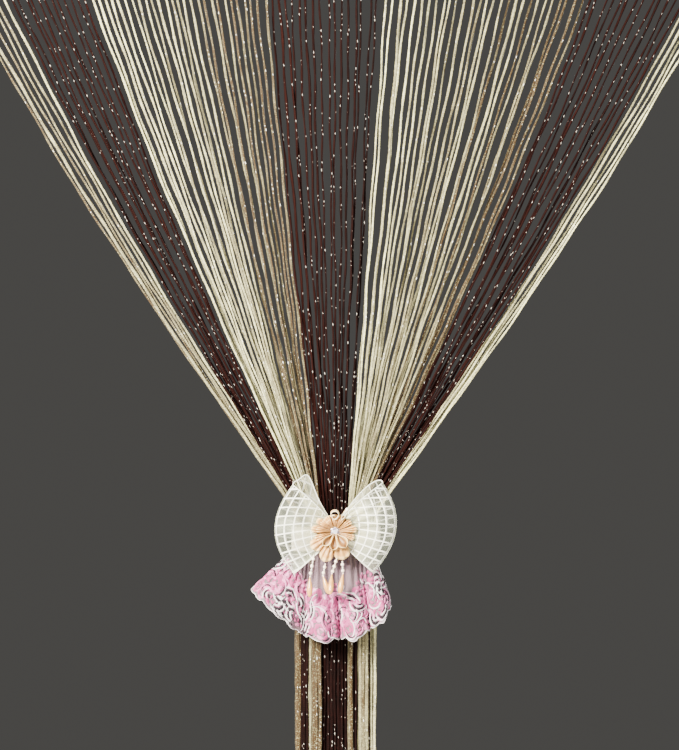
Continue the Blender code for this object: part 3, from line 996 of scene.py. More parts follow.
def make_piece(
    name: str,
    skin: Skin,
    finishes: Sequence[Finish],
    slot: Slot,
    stands_for: Sequence[str] = (),
    smooth: bool = True,
) -> bpy.types.Object:
    """Turns a skin into a piece of the curtain.

    Args:
        name: the piece's name.
        skin: its points and faces.
        finishes: its finishes, in the order that its faces number them.
        slot: its material slot; not used.
        stands_for: the solids that it replaces.
        smooth: whether its faces are shaded smooth.

    Returns:
        The piece, riding on the curtain's one body.
    """
    mesh = bpy.data.meshes.new(name)
    mesh.from_pydata(skin.points, [], skin.faces)
    layer = mesh.uv_layers.new(name="cloth")
    layer.data.foreach_set("uv", [part for pair in skin.cloth for part in pair])
    mesh.polygons.foreach_set("material_index", skin.finishes)
    for attribute, values in (("tone", skin.tones), ("rim", skin.rims)):
        mesh.attributes.new(attribute, "FLOAT", "POINT").data.foreach_set("value", values)
    bm = bmesh.new()
    bm.from_mesh(mesh)
    bmesh.ops.recalc_face_normals(bm, faces=bm.faces)
    bm.to_mesh(mesh)
    bm.free()
    if smooth:
        mesh.shade_smooth()
    for finish in finishes:
        mesh.materials.append(finish.material())
    made = bpy.data.objects.new(name, mesh)
    bpy.context.scene.collection.objects.link(made)
    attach(made, "root")
    if stands_for:
        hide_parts(*stands_for)
    LOG.info("%s: %d points, %d faces", name, len(mesh.vertices), len(mesh.polygons))
    return made


def thicken(made: bpy.types.Object, thickness: float) -> None:
    """Gives a sheet its thickness, half to each side.

    Args:
        made: the sheet.
        thickness: of its cloth.
    """
    solid = made.modifiers.new("thickness", "SOLIDIFY")
    solid.thickness = thickness
    solid.offset = 0.0


@dataclass(frozen=True)
class Lamp:
    """A soft square light: its place, the side of its square, its power in watts, its tint."""

    name: str
    place: tuple[float, float, float]
    size: float
    power: float
    colour: Colour


@dataclass(frozen=True)
class Studio:
    """Pale floor, soft lights and the camera."""

    floor_drop: float = 0.02
    floor_radius: float = 6.0
    floor_sides: int = 96
    aim: tuple[float, float, float] = (-0.0017, 0.0, -0.6138)
    distance: float = 3.0
    view_height: float = 750.0 / 867.0
    sensor: float = 36.0
    behind: Colour = (0.072, 0.070, 0.066)
    ambient: Colour = (1.0, 0.98, 0.94)
    ambient_strength: float = 0.38
    lamps: tuple[Lamp, ...] = (
        Lamp("key", (-1.7, -2.1, 0.7), 1.1, 900.0, (1.0, 0.95, 0.84)),
        Lamp("fill", (2.0, -2.0, -0.5), 2.4, 60.0, (1.0, 0.98, 0.95)),
        Lamp("back", (0.9, 2.2, 0.4), 1.8, 90.0, (1.0, 0.98, 0.95)),
    )

    def build(self) -> None:
        """Makes the floor, the lights, the surroundings and the camera."""
        self.add_floor()
        self.add_surroundings()
        for lamp in self.lamps:
            self.add_light(lamp)
        self.add_camera()

    def add_floor(self) -> None:
        """A round floor a little below the strands' ends."""
        z = CAD_BOX[0].z - self.floor_drop
        mesh = bpy.data.meshes.new("floor")
        radius = self.floor_radius
        rim = [(radius * cos(a), radius * sin(a), z) for a in circle(self.floor_sides)]
        mesh.from_pydata(rim, [], [tuple(range(self.floor_sides))])
        mesh.materials.append(FLOOR.material())
        floor = bpy.data.objects.new("floor", mesh)
        bpy.context.scene.collection.objects.link(floor)

    def add_surroundings(self) -> None:
        """Even light from all round, and a plain grey behind the curtain."""
        world = bpy.data.worlds.new("studio")
        world.use_nodes = True
        world.node_tree.nodes.clear()
        nodes = Nodes(world.node_tree)
        lit = nodes.add("Background", {}, Color=self.ambient, Strength=self.ambient_strength)
        seen = nodes.add("Background", {}, Color=self.behind, Strength=1.0)
        chosen = nodes.add("MixShader", {}, Fac=nodes.add("LightPath", {}).outputs["Is Camera Ray"])
        nodes.feed(chosen.inputs[1], lit.outputs[0])
        nodes.feed(chosen.inputs[2], seen.outputs[0])
        result = nodes.add("OutputWorld", {})
        nodes.feed(result.inputs["Surface"], chosen.outputs[0])
        bpy.context.scene.world = world

    def add_light(self, lamp: Lamp) -> None:
        """Adds a light that faces the middle of the view.

        Args:
            lamp: its sizes and tint.
        """
        source = bpy.data.lights.new(lamp.name, "AREA")
        source.size = lamp.size
        source.energy = lamp.power
        source.color = lamp.colour
        light = bpy.data.objects.new(lamp.name, source)
        light.location = lamp.place
        way = Vector(self.aim) - Vector(lamp.place)
        light.rotation_euler = way.to_track_quat("-Z", "Y").to_euler()
        bpy.context.scene.collection.objects.link(light)

    def add_camera(self) -> None:
        """The camera looks straight at the front; its sensor width is the frame's long side."""
        lens = bpy.data.cameras.new("camera")
        lens.sensor_width = self.sensor
        lens.lens = self.sensor * self.distance / self.view_height
        camera = bpy.data.objects.new("camera", lens)
        camera.location = Vector(self.aim) + FRONT * self.distance
        camera.rotation_euler = (0.5 * pi, 0.0, 0.0)
        bpy.context.scene.collection.objects.link(camera)
        bpy.context.scene.camera = camera


@dataclass(frozen=True)
class RodPocket:
    """The woven heading: a sleeve that is round above, where the rod runs, and sewn below."""

    node: str = "rod_pocket"
    wall: float = 0.0015
    seam: float = 0.0040
    seam_depth: float = 0.0030
    arc_steps: int = 20
    side_steps: int = 6
    side_start: float = 0.2
    rings: int = 161
    pucker: float = 0.0005
    pucker_share: float = 0.6
    pucker_waves: tuple[float, ...] = (0.061, 0.097, 0.143)
    stitch_length: float = 0.0026
    stitch_pitch: float = 0.0035
    stitch_rows: tuple[float, ...] = (0.0030, 0.0065)
    stitch_bulge: float = 0.0004
    stitch_radius: float = 0.0003
    seed: int = 11

    def loop(self, radius: float, half_seam: float, bottom: float) -> list[Pair]:
        """The sleeve's section in the YZ plane.

        Args:
            radius: of the round part.
            half_seam: half the width at the seam.
            bottom: the height of the seam's foot.

        Returns:
            Its points as y and z.
        """
        low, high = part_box(self.node)
        middle = high.z - 0.5 * (high.y - low.y)
        lean = asin((radius - half_seam) / (middle - bottom))
        section = []
        for share in steps(self.arc_steps + 1):
            angle = mix(-lean, pi + lean, share)
            section.append((radius * cos(angle), middle + radius * sin(angle)))
        for share in steps(self.side_steps, self.side_start, 1.0):
            y, z = section[self.arc_steps]
            section.append((mix(y, -half_seam, share), mix(z, bottom, share)))
        for share in steps(self.side_steps, 0.0, 1.0 - self.side_start):
            y, z = section[0]
            section.append((mix(half_seam, y, share), mix(bottom, z, share)))
        return section

    def build(self) -> None:
        """Makes the sleeve and its stitches."""
        low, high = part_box(self.node)
        width, radius = high.x - low.x, 0.5 * (high.y - low.y)
        half_seam = 0.5 * self.seam
        sewn = self.pucker_share * (high.z - low.z)
        wave = Wander(Random(self.seed), self.pucker_waves)
        outer = self.loop(radius, half_seam, low.z)
        inner = self.loop(radius - self.wall, half_seam - self.wall, low.z + self.seam_depth)

        def ring(x: float, section: Section) -> list[Vector]:
            """The section at x, drawn in a little at the seam.

            Args:
                x: where along the pocket.
                section: its points as y and z.

            Returns:
                The points.
            """
            made = []
            for y, z in section:
                drawn = self.pucker * wave.at(x) * eased((high.z - radius - z) / sewn)
                made.append(Vector((x, y + drawn, z)))
            return made

        places = steps(self.rings, low.x, high.x)
        rows = [ring(x, outer) for x in places] + [ring(x, inner) for x in reversed(places)]
        girth = distances([Vector((0.0, y, z)) for y, z in outer + outer[:1]])
        along = [x - low.x for x in places] + [width + high.x - x for x in reversed(places)]
        skin = Skin()
        skin.grid(
            rows,
            lambda row, column: (girth[column], along[row % len(along)]),
            ring=True,
            returning=True,
        )
        sleeve = make_piece("pocket_sleeve", skin, [HEADING], Slot.HEADING, [self.node])
        stitches = self.add_stitches(ring, outer)

    def add_stitches(
        self, ring: Callable[[float, Section], list[Vector]], outer: Section
    ) -> bpy.types.Object:
        """Sews two rows of stitches along the seam, on the front and on the back.

        Args:
            ring: gives the sleeve's section at a place along it.
            outer: the sleeve's outer section.

        Returns:
            The stitches, as one piece.
        """
        low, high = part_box(self.node)
        skin = Skin()
        count = int((high.x - low.x) / self.stitch_pitch) - 1
        for lift in self.stitch_rows:
            for number in range(count):
                start = low.x + (number + 1) * self.stitch_pitch
                section = ring(start, outer)
                for side in (-1.0, 1.0):
                    wall = [p for p in section if p.y * side > 0.0]
                    foot = min(wall, key=lambda point: abs(point.z - (low.z + lift)))
                    line = [
                        Vector((start + self.stitch_length * share, foot.y, low.z + lift))
                        + Vector((0.0, side * self.stitch_bulge * sin(pi * share), 0.0))
                        for share in steps(4)
                    ]
                    skin.cord(line, self.stitch_radius, 5)
        return make_piece("pocket_stitches", skin, [SEWING], Slot.HEADING)


@dataclass(frozen=True)
class Band:
    """One run of strands of like yarn, with its share of the pocket and of the bundle."""

    node: str
    strands: int
    root_width: float
    waist_width: float
    slot: Slot
    yarn: YarnFinish
    shades: Pair
    flecks_per_metre: float
    # Painted shade: how much deeper each strand's tone runs below the tie, where the bunched
    # strands shade each other.
    shade_below_tie: float = 0.0


@dataclass(frozen=True)
class Strand:
    """Where one strand starts, and where it lies in the bundle."""

    root_x: float
    waist_x: float
    row: int
    sway: float
    width: float


@dataclass(frozen=True)
class StrandFan:
    """All the strands, from their knitted strips through the tie to their cut ends."""

    # Each band's last number is its painted shade below the tie.
    bands: tuple[Band, ...] = (
        Band("strands_1_cream_edge", 6, 0.059, 0.007, Slot.CHAMPAGNE, IVORY, (0.95, 0.35), 34, 0.7),
        Band("strands_2_brown", 12, 0.107, 0.007, Slot.BROWN, BROWN, (0.3, 0.8), 120, -0.6),
        Band("strands_3_cream", 27, 0.239, 0.014, Slot.IVORY, IVORY, (-0.10, 1.15), 60, 0.6),
        Band("strands_4_brown", 16, 0.148, 0.032, Slot.BROWN, BROWN, (0.9, 0.0), 100, -0.9),
        Band("strands_5_cream", 28, 0.274, 0.015, Slot.IVORY, IVORY, (0.10, 1.05), 40, 0.15),
        Band("strands_6_brown", 13, 0.135, 0.009, Slot.BROWN, BROWN, (0.5, 0.3), 120, -0.6),
        Band("strands_7_cream_edge", 5, 0.038, 0.008, Slot.CHAMPAGNE, IVORY, (0.45, 0.20), 34, 0.2),
    )
    gap: float = 0.0003
    strip_height: float = 0.008
    strip_thickness: float = 0.0016
    strand_length: float = 1.942
    waist_z: float = -0.783
    waist_left: float = -0.052
    fan_bend: float = 0.168
    fan_ease: float = 0.02
    fan_points: int = 110
    root_scatter: float = 0.0012
    sway: float = 0.0015
    cling: float = 0.0016
    rows: int = 7
    row_pitch: float = 0.0022
    row_clearance: float = 0.0034
    stacked_below: float = 0.72
    ring_pitch: float = 0.0085
    relaxed: float = 0.45
    crossing: tuple[float, float, float] = (0.0080, 0.0187, 0.0300)
    crossing_top: float = -0.818
    crossing_drop: float = 0.082
    crossing_part: float = 0.004
    crossed_layer: float = 0.0012
    cut_slack: float = 0.004
    drift: Pair = (0.0016, 0.0007)
    drift_waves: tuple[tuple[float, ...], ...] = ((0.47, 0.21, 0.093), (0.39, 0.17))
    drift_below: float = 0.45
    root_hold: float = 0.06
    tie_hold: float = 0.10
    tied: Ramp = (0.05, 0.06)
    breadths: Pair = (0.80, 1.10)
    broad: float = 1.35
    broad_share: float = 0.10
    swell: float = 0.22
    swell_waves: tuple[float, ...] = (0.083, 0.037, 0.023)
    fray: float = 0.25
    fray_length: float = 0.02
    turns: Pair = (0.75, 0.25)
    turn_waves: tuple[float, ...] = (0.31, 0.14, 0.067)
    turn_start: float = 0.05
    shade_scatter: float = 0.30
    shade_swell: float = 0.16
    shade_stretch: float = 0.6
    sides: int = 6
    fleck_start: Pair = (0.01, 0.04)
    fleck_end: float = 0.004
    fleck_spread: float = 0.3
    fleck_lift: float = 0.0001
    fleck_dims: Pair = (-0.5, 1.0)
    fleck_scales: Pair = (0.35, 0.95)
    fleck_dim_shrink: float = 0.3
    fleck_pairs: float = 0.35
    fleck_pair_gap: float = 0.005
    fleck_gaps: Pair = (0.3, 2.6)
    fleck_tips: tuple[Pair, Pair] = ((0.0022, 0.0), (-0.0026, 0.0))
    fleck_sides: tuple[Pair, Pair] = ((0.0007, 0.0007), (-0.0005, -0.0006))
    fleck_depth: float = 0.0003
    strip_pitch: float = 0.004
    strip_sides: int = 12
    chain_rows: Pair = (-0.55, 0.45)
    chain_pitch: float = 0.001
    chain_wave: float = 0.0003
    chain_loop: float = 0.004
    chain_sunk: float = 0.0001
    chain_radius: float = 0.0006
    seeds: tuple[int, int] = (7, 23)

    def build(self) -> None:
        """Makes each band's strands and strip, and the flecks on them."""
        root_left, waist_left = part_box("rod_pocket")[0].x, self.waist_left
        last_x = [-inf] * self.rows
        chance, loose = (Random(seed) for seed in self.seeds)
        for band in self.bands:
            strands, cling = [], 0.0
            for number in range(band.strands):
                share = (number + 0.5) / band.strands
                root_x = root_left + share * band.root_width
                root_x += self.root_scatter * chance.uniform(-1.0, 1.0)
                waist_x = waist_left + share * band.waist_width
                cling = -cling if number % 2 else self.cling * chance.random()
                sway = self.sway * chance.uniform(-1.0, 1.0) + cling
                row = self.free_row(last_x, waist_x)
                last_x[row] = waist_x
                strands.append(Strand(root_x, waist_x, row, sway, band.yarn.width))
            self.add_band(band, strands, root_left, loose)
            root_left += band.root_width
            waist_left += band.waist_width

    def free_row(self, last_x: Sequence[float], x: float) -> int:
        """The row nearest the middle of the bundle with room for a strand at x.

        Args:
            last_x: where each row's last strand lies.
            x: where the next one goes.

        Returns:
            The row's number.
        """
        middle = self.rows // 2
        order = sorted(range(self.rows), key=lambda number: abs(number - middle))
        return next(row for row in order if x - last_x[row] >= self.row_clearance)

    def spread(self, height: float) -> float:
        """How far the fan has opened at a height.

        Args:
            height: 0 at the waist, 1 at the roots.

        Returns:
            The opening.
        """

        def opened(share: float) -> float:
            """The opening before it is scaled."""
            return hypot(share, self.fan_ease) - self.fan_ease - self.fan_bend * share * share

        return opened(height) / opened(1.0)

    def root_z(self) -> float:
        """The height of the strips' lower edges."""
        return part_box("rod_pocket")[0].z - self.gap - self.strip_height

    def fan_point(self, strand: Strand, height: float) -> Vector:
        """The strand's middle above the tie.

        Args:
            strand: which one.
            height: 1 at its root, 0 at the waist.

        Returns:
            The point.
        """
        x = mix(strand.waist_x, strand.root_x, self.spread(height))
        x += strand.sway * sin(pi * height)
        settled = eased((1.0 - height) / (1.0 - self.stacked_below))
        y = (strand.row - self.rows // 2) * self.row_pitch * settled
        return Vector((x, y, mix(self.waist_z, self.root_z(), height)))

    def crossed(self, point: Vector) -> Vector:
        """Where a hanging point lies, once two runs of strands have swapped places behind the lace.

        Args:
            point: where it would hang if no strands crossed.

        Returns:
            The point.
        """
        start, split, end = self.crossing
        if not start <= point.x < end:
            return point
        shift = end - split if point.x < split else start - split
        done = eased((self.crossing_top - point.z) / self.crossing_drop)
        parted = 0.5 * point.y + copysign(self.crossing_part, shift)
        y = mix(point.y, parted, 4.0 * done * (1.0 - done))
        y += copysign(self.crossed_layer, shift) * done
        return Vector((point.x + shift * done, y, point.z))

    def run(self, strand: Strand, loose: Random) -> list[Vector]:
        """The line that a strand follows, from its root to its cut end.

        Args:
            strand: which one.
            loose: the seeded source of its own small waves.

        Returns:
            Its points.
        """
        fan = [self.fan_point(strand, height) for height in steps(self.fan_points, 1.0, 0.0)]
        tie = distances(fan)[-1]
        hanging = self.strand_length - tie + self.cut_slack * loose.uniform(-1.0, 0.4)
        count = round(hanging / self.ring_pitch)
        drops = [hanging * number / count for number in range(1, count + 1)]
        line = fan + [self.crossed(fan[-1] - UP * drop) for drop in drops]
        sideways, forward = (Wander(loose, waves) for waves in self.drift_waves)
        x_drift, y_drift = self.drift
        moved = []
        for point, distance in zip(line, distances(line)):
            free = eased(distance / self.root_hold) * eased(abs(distance - tie) / self.tie_hold)
            below = 1.0 if distance < tie else self.drift_below
            x, y = x_drift * sideways.at(distance), y_drift * forward.at(distance)
            moved.append(point + Vector((x, y, 0.0)) * (free * below))
        return moved

    def add_band(self, band: Band, strands: Sequence[Strand], left: float, loose: Random) -> None:
        """Makes one band.

        Args:
            band: its sizes and yarn.
            strands: its strands.
            left: where its strip starts.
            loose: the seeded source of its unevenness.
        """
        skin, glints = Skin(), Skin()
        self.add_strip(skin, left + 0.5 * self.gap, left + band.root_width - 0.5 * self.gap, band)
        for number, strand in enumerate(strands):
            line = self.run(strand, loose)
            share = (number + 0.5) / len(strands)
            tone = mix(*band.shades, share)
            tone += loose.uniform(-self.shade_scatter, self.shade_scatter)
            # Below the tie the tone is deepened as painted shade of the bundle.
            self.add_strand(skin, line, strand, (tone, tone + band.shade_below_tie), loose)
            self.add_flecks(glints, line, strand, band.flecks_per_metre, loose)
        make_piece(band.node.replace("strands", "yarn"), skin, [band.yarn], band.slot, [band.node])
        # Silver foil on the brown yarn; on the cream yarn, near-white slips as painted highlights.
        foil = SILVER if band.yarn is BROWN else IVORY_PAINTED_GLINT
        make_piece(band.node.replace("strands", "flecks"), glints, [foil], band.slot)

    def add_strand(
        self, skin: Skin, line: Line, strand: Strand, tones: Pair, loose: Random
    ) -> None:
        """Adds one flat yarn that turns and swells a little on its way down.

        Args:
            skin: the band's skin.
            line: the points that it follows.
            strand: its width.
            tones: its tone in the fan, and below the tie, where painted shade is added.
            loose: the seeded source of its unevenness.
        """
        turning = Wander(loose, self.turn_waves)
        swelling = Wander(loose, self.swell_waves)
        broad = loose.uniform(*self.breadths)
        broad *= self.broad if loose.random() < self.broad_share else 1.0
        far = distances(line)
        end = far[-1]
        above, length = self.tied

        def tied(index: int) -> float:
            """0 above the tie, 1 below it."""
            return eased((self.waist_z + above - line[index].z) / length)

        def size(index: int) -> Pair:
            """Half width and half depth, frayed at the cut end.

            Args:
                index: the point's number.

            Returns:
                Both sizes.
            """
            swell = 1.0 + self.swell * swelling.at(far[index])
            fray = 1.0 + self.fray * eased(1.0 - (end - far[index]) / self.fray_length)
            fray += self.relaxed * tied(index)
            return 0.5 * strand.width * broad * swell * fray, 0.5 * self.strip_thickness * swell

        def across(index: int) -> Vector:
            """The way that the flat side faces.

            Args:
                index: the point's number.

            Returns:
                The direction.
            """
            angle = mix(*self.turns, tied(index)) * turning.at(far[index])
            angle *= eased(far[index] / self.turn_start)
            return Vector((cos(angle), sin(angle), 0.0))

        def shade(row: int, column: int) -> float:
            """The strand's tone, which changes a little as it swells and is deeper below the tie as
            painted shade.
            """
            change = self.shade_swell * swelling.at(self.shade_stretch * far[row])
            return min(1.0, max(0.0, mix(*tones, tied(row)) + change))

        skin.sweep(line, size, self.sides, across, tone=shade)

    def add_flecks(
        self, skin: Skin, line: Line, strand: Strand, per_metre: float, loose: Random
    ) -> None:
        """Scatters slips of foil, or of painted highlight, along a strand, on its front and on its
        back.

        Args:
            skin: the flecks' skin.
            line: the points that the strand follows.
            strand: its width.
            per_metre: how many to a metre.
            loose: the seeded source of their places.
        """
        far = distances(line)
        place, end = loose.uniform(*self.fleck_start), far[-1] - self.fleck_end
        index = 0
        while place < end:
            while far[index + 1] < place:
                index += 1
            share = (place - far[index]) / (far[index + 1] - far[index])
            along = (line[index + 1] - line[index]).normalized()
            side = RIGHT - along * along.x
            face = loose.choice((-1.0, 1.0))
            middle = line[index].lerp(line[index + 1], share)
            middle += side * (self.fleck_spread * strand.width * loose.uniform(-1.0, 1.0))
            middle.y += face * (0.5 * self.strip_thickness + self.fleck_lift)
            # Painted shade: some flecks are made dim, as if they caught less light.
            dim = max(0.0, loose.uniform(*self.fleck_dims))
            scale = loose.uniform(*self.fleck_scales) * (1.0 - self.fleck_dim_shrink * dim)
            self.add_fleck(skin, middle, along, side, scale, dim)
            paired = loose.random() < self.fleck_pairs
            place += self.fleck_pair_gap if paired else loose.uniform(*self.fleck_gaps) / per_metre

    def add_fleck(
        self, skin: Skin, middle: Vector, along: Vector, side: Vector, scale: float, tone: float
    ) -> None:
        """Adds one lens-shaped fleck.

        Args:
            skin: the flecks' skin.
            middle: its middle.
            along: the strand's direction.
            side: across the strand.
            scale: its size against the usual one.
            tone: how dim it is.
        """
        start = len(skin.points)
        for ends in zip(self.fleck_tips, self.fleck_sides):
            for forth, over in ends:
                skin.points.append(middle + (along * forth + side * over) * scale)
        lift = FRONT * self.fleck_depth
        skin.points += [middle + lift, middle - lift]
        added = len(skin.points) - start
        skin.tones += [tone] * added
        skin.rims += [0.0] * added
        poles, corners = (added - 2, added - 1), added - 2
        for corner in range(corners):
            beside = (corner + 1) % corners
            for pole in poles:
                skin.face((start + corner, start + beside, start + pole), [(0.0, 0.0)] * 3, 0)

    def add_strip(self, skin: Skin, left: float, right: float, band: Band) -> None:
        """Adds the knitted strip that a band's strands hang from, with a chain on each face.

        Args:
            skin: the band's skin.
            left: where it starts.
            right: where it ends.
            band: its yarn's shades.
        """
        half_height, half_depth = 0.5 * self.strip_height, 0.5 * self.strip_thickness
        z = self.root_z() + half_height
        tone = 0.5 * sum(band.shades)
        count = max(8, round((right - left) / self.strip_pitch))
        line = [Vector((x, 0.0, z)) for x in steps(count, left, right)]
        size = (half_height, half_depth)
        skin.sweep(line, lambda row: size, self.strip_sides, lambda row: UP, tone=tone)
        count = round((right - left) / self.chain_pitch)
        places = steps(count, left + self.chain_pitch, right - self.chain_pitch)
        for face in (-1.0, 1.0):
            y = face * (half_depth - self.chain_sunk)
            for lift in self.chain_rows:
                level = z + lift * half_height
                chain = [
                    Vector((x, y, level + self.chain_wave * sin(TURN * x / self.chain_loop)))
                    for x in places
                ]
                skin.cord(chain, self.chain_radius, 5, tone=tone)


@dataclass(frozen=True)
class TieBand:
    """The strap round the bundle: a soft ribbon with folds along it."""

    node: str = "tie_band"
    thickness: float = 0.0020
    squareness: float = 3.0
    columns: int = 96
    rows: int = 13
    folds: float = 3.0
    fold_depth: float = 0.0005
    creases: float = 9.0
    crease: float = 0.25

    def ring(self, inset: float, share: float) -> list[Vector]:
        """The strap's outline at a share of the way down.

        Args:
            inset: how far inside its outer face.
            share: 0 at its upper edge, 1 at its lower edge.

        Returns:
            The points.
        """
        low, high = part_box(self.node)
        half_width, half_depth = 0.5 * (high.x - low.x) - inset, 0.5 * (high.y - low.y) - inset
        fold = self.fold_depth * (cos(self.folds * TURN * share) - 1.0) * 0.5
        power = 2.0 / self.squareness
        made = []
        for angle in circle(self.columns):
            folded = fold * (1.0 + self.crease * sin(self.creases * angle))
            cosine, sine = cos(angle), sin(angle)
            x = (half_width + folded) * copysign(abs(cosine) ** power, cosine)
            y = (half_depth + folded) * copysign(abs(sine) ** power, sine)
            made.append(Vector((0.5 * (low.x + high.x) + x, y, mix(high.z, low.z, share))))
        return made

    def build(self) -> None:
        """Makes the strap."""
        shares = steps(self.rows)
        rows = [self.ring(0.0, share) for share in shares]
        rows += [self.ring(self.thickness, share) for share in reversed(shares)]
        low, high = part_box(self.node)
        girth = distances(rows[0] + rows[0][:1])
        height = high.z - low.z
        skin = Skin()
        skin.grid(
            rows,
            lambda row, column: (height * row / self.rows, girth[column]),
            ring=True,
            returning=True,
        )
        strap = make_piece("tie_strap", skin, [STRAP], Slot.IVORY, [self.node])


@dataclass(frozen=True)
class BowLoop:
    """One loop of check ribbon, pinched at the knot, with its tips measured from the flower."""

    node: str
    side: float
    upper: Pair
    lower: Pair
    reach: float
    knot_x: float = 0.0045
    knot_half_height: float = 0.011
    knot_y: float = -0.0195
    knot_gap: float = 0.0018
    lean: float = 0.010
    puff: float = 0.013
    edge_puff: float = 0.55
    pleats: float = 3.0
    pleat_depth: float = 0.0012
    crease_depth: float = 0.0014
    gathers: float = 8.0
    gather_depth: float = 0.0011
    rise: float = 0.003
    back_rise: float = 0.011
    peak: float = 0.0
    peak_at: float = 0.62
    peak_spread: float = 0.22
    creases: float = 7.0
    crease_phase: float = 1.3
    skew: float = 0.17
    unpinched: float = 0.6
    back_fade: float = 4.0
    edge_radius: float = 0.0006
    ribbon_width: float = 0.100
    columns: int = 73
    rows: int = 65

    def fold(self, across: float) -> Pair:
        """A point of the outer fold.

        Args:
            across: -1 at the lower tip, 1 at the upper tip.

        Returns:
            Its x and z from the flower's middle.
        """
        tips_x = 0.5 * (self.upper[0] + self.lower[0])
        tips_z = 0.5 * (self.upper[1] + self.lower[1])
        x = self.reach - (self.reach - tips_x) * across * across
        x += 0.5 * (self.upper[0] - self.lower[0]) * across
        return x, tips_z + 0.5 * (self.upper[1] - self.lower[1]) * across

    def point(self, around: float, across: float) -> Vector:
        """A point of the ribbon.

        Args:
            around: from 0 at the knot out along the front and back again at a full turn.
            across: from -1 at the lower edge to 1 at the upper edge.

        Returns:
            The point.
        """
        outward = 0.5 * (1.0 - cos(around))
        fold_x, fold_z = self.fold(across)
        x = mix(self.knot_x, fold_x, outward)
        z = mix(self.knot_half_height * across, fold_z, outward)
        y = self.knot_y - self.lean * sin(0.25 * TURN * outward)
        puffed = self.puff * (1.0 - (1.0 - self.edge_puff) * across * across)
        y -= puffed * sin(around) * sqrt(outward)
        y -= self.knot_gap * cos(0.5 * around)
        pinched = (1.0 - outward) ** 2
        y += self.pleat_depth * cos(self.pleats * pi * across) * pinched
        y += self.gather_depth * sin(self.gathers * pi * across) * (1.0 - outward)
        creased = sin(self.creases * pi * across + self.crease_phase)
        creased *= outward * (1.0 - outward) * 2.0
        y += self.crease_depth * creased * copysign(1.0, sin(around) + ROUNDING)
        hidden, upper = max(0.0, -sin(around)), max(0.0, across)
        peaked = exp(-(((outward - self.peak_at) / self.peak_spread) ** 2))
        lifted = self.rise * sin(pi * outward)
        lifted += self.back_rise * hidden * sqrt(outward)
        lifted += self.peak * hidden * peaked * upper**3
        return TIE + Vector((self.side * x, y, z + lifted * upper**2))

    def build(self) -> None:
        """Makes the loop and the corded edges of its ribbon."""
        turns, places = steps(self.columns, 0.0, TURN), steps(self.rows, -1.0, 1.0)
        rows = [[self.point(around, across) for across in places] for around in turns]
        middle = distances([row[self.rows // 2] for row in rows])
        skin = Skin()

        def cloth(row: int, column: int) -> Cloth:
            """Cloth coordinates, skewed so that the two layers' checks cross.

            Args:
                row: the number of the step round the loop.
                column: the number of the step across it.

            Returns:
                The coordinates.
            """
            flat = 0.5 * self.ribbon_width * places[column]
            drift = self.skew * (middle[row] - 0.5 * middle[-1])
            return middle[row], mix(flat, rows[row][column].z - TIE.z, self.unpinched) + drift

        skin.grid(
            rows,
            cloth,
            tone=lambda row, column: 0.5 - 0.5 * cos(turns[row]),
            rim=lambda row, column: eased(-self.back_fade * sin(turns[row])),
        )
        name = self.node.replace("bow", "ribbon")
        ribbon = make_piece(name, skin, [ORGANZA], Slot.ORGANZA, [self.node])
        edges = Skin()
        for column in (0, self.rows - 1):
            edges.cord([row[column] for row in rows], self.edge_radius)
        cords = make_piece(self.node.replace("bow", "edging"), edges, [EDGING], Slot.ORGANZA)


@dataclass(frozen=True)
class BowKnot:
    """The short wrap that holds both loops to the strap, behind the flower."""

    half_width: float = 0.0056
    half_height: float = 0.0128
    front: float = -0.0232
    back: float = -0.0127
    columns: int = 28
    rings: int = 9
    hollow: float = 0.10
    pleats: float = 5.0
    pleat_depth: float = 0.03
    cloth: Cloth = (0.0014, 0.0022)

    def build(self) -> None:
        """Makes the wrap."""
        middle, half_depth = 0.5 * (self.front + self.back), 0.5 * (self.back - self.front)
        rows = []
        for share in steps(self.rings, -1.0, 1.0):
            waist = 1.0 - self.hollow * (1.0 - share * share)
            pleat = 1.0 + self.pleat_depth * sin(self.pleats * pi * share)
            ring = []
            for angle in circle(self.columns):
                y = middle + half_depth * waist * pleat * cos(angle)
                z = self.half_height * waist * pleat * sin(angle)
                ring.append(TIE + Vector((self.half_width * share, y, z)))
            rows.append(ring)
        skin = Skin()
        skin.grid(
            rows,
            lambda row, column: (self.cloth[0] * row, self.cloth[1] * column),
            ring=True,
            capped=True,
        )
        make_piece("bow_knot_wrap", skin, [STRAP], Slot.ORGANZA)


class PetalForm(Enum):
    """How a petal of the flower is folded."""

    PLEATED = "pleated"
    LOOPED = "looped ribbon"
    POINTED = "folded to a point"
    CUPPED = "cupped"


@dataclass(frozen=True)
class Petal:
    """One petal: the turn that it takes up, its length and its form."""

    turn: float
    length: float
    form: PetalForm
    width: float = 1.0
    beaded: bool = False


@dataclass(frozen=True)
class Cut:
    """How wide a form of petal is for its turn, its creases, and its layers' scale and lift."""

    reach: float
    creases: float
    layers: tuple[Pair, ...]


CUTS = {
    PetalForm.PLEATED: Cut(0.54, 4.0, ((1.0, 0.0), (0.80, 0.0018))),
    PetalForm.POINTED: Cut(0.56, 4.0, ((1.0, 0.0030),)),
    PetalForm.CUPPED: Cut(0.57, 3.5, ((1.0, 0.0), (0.76, 0.0024))),
}


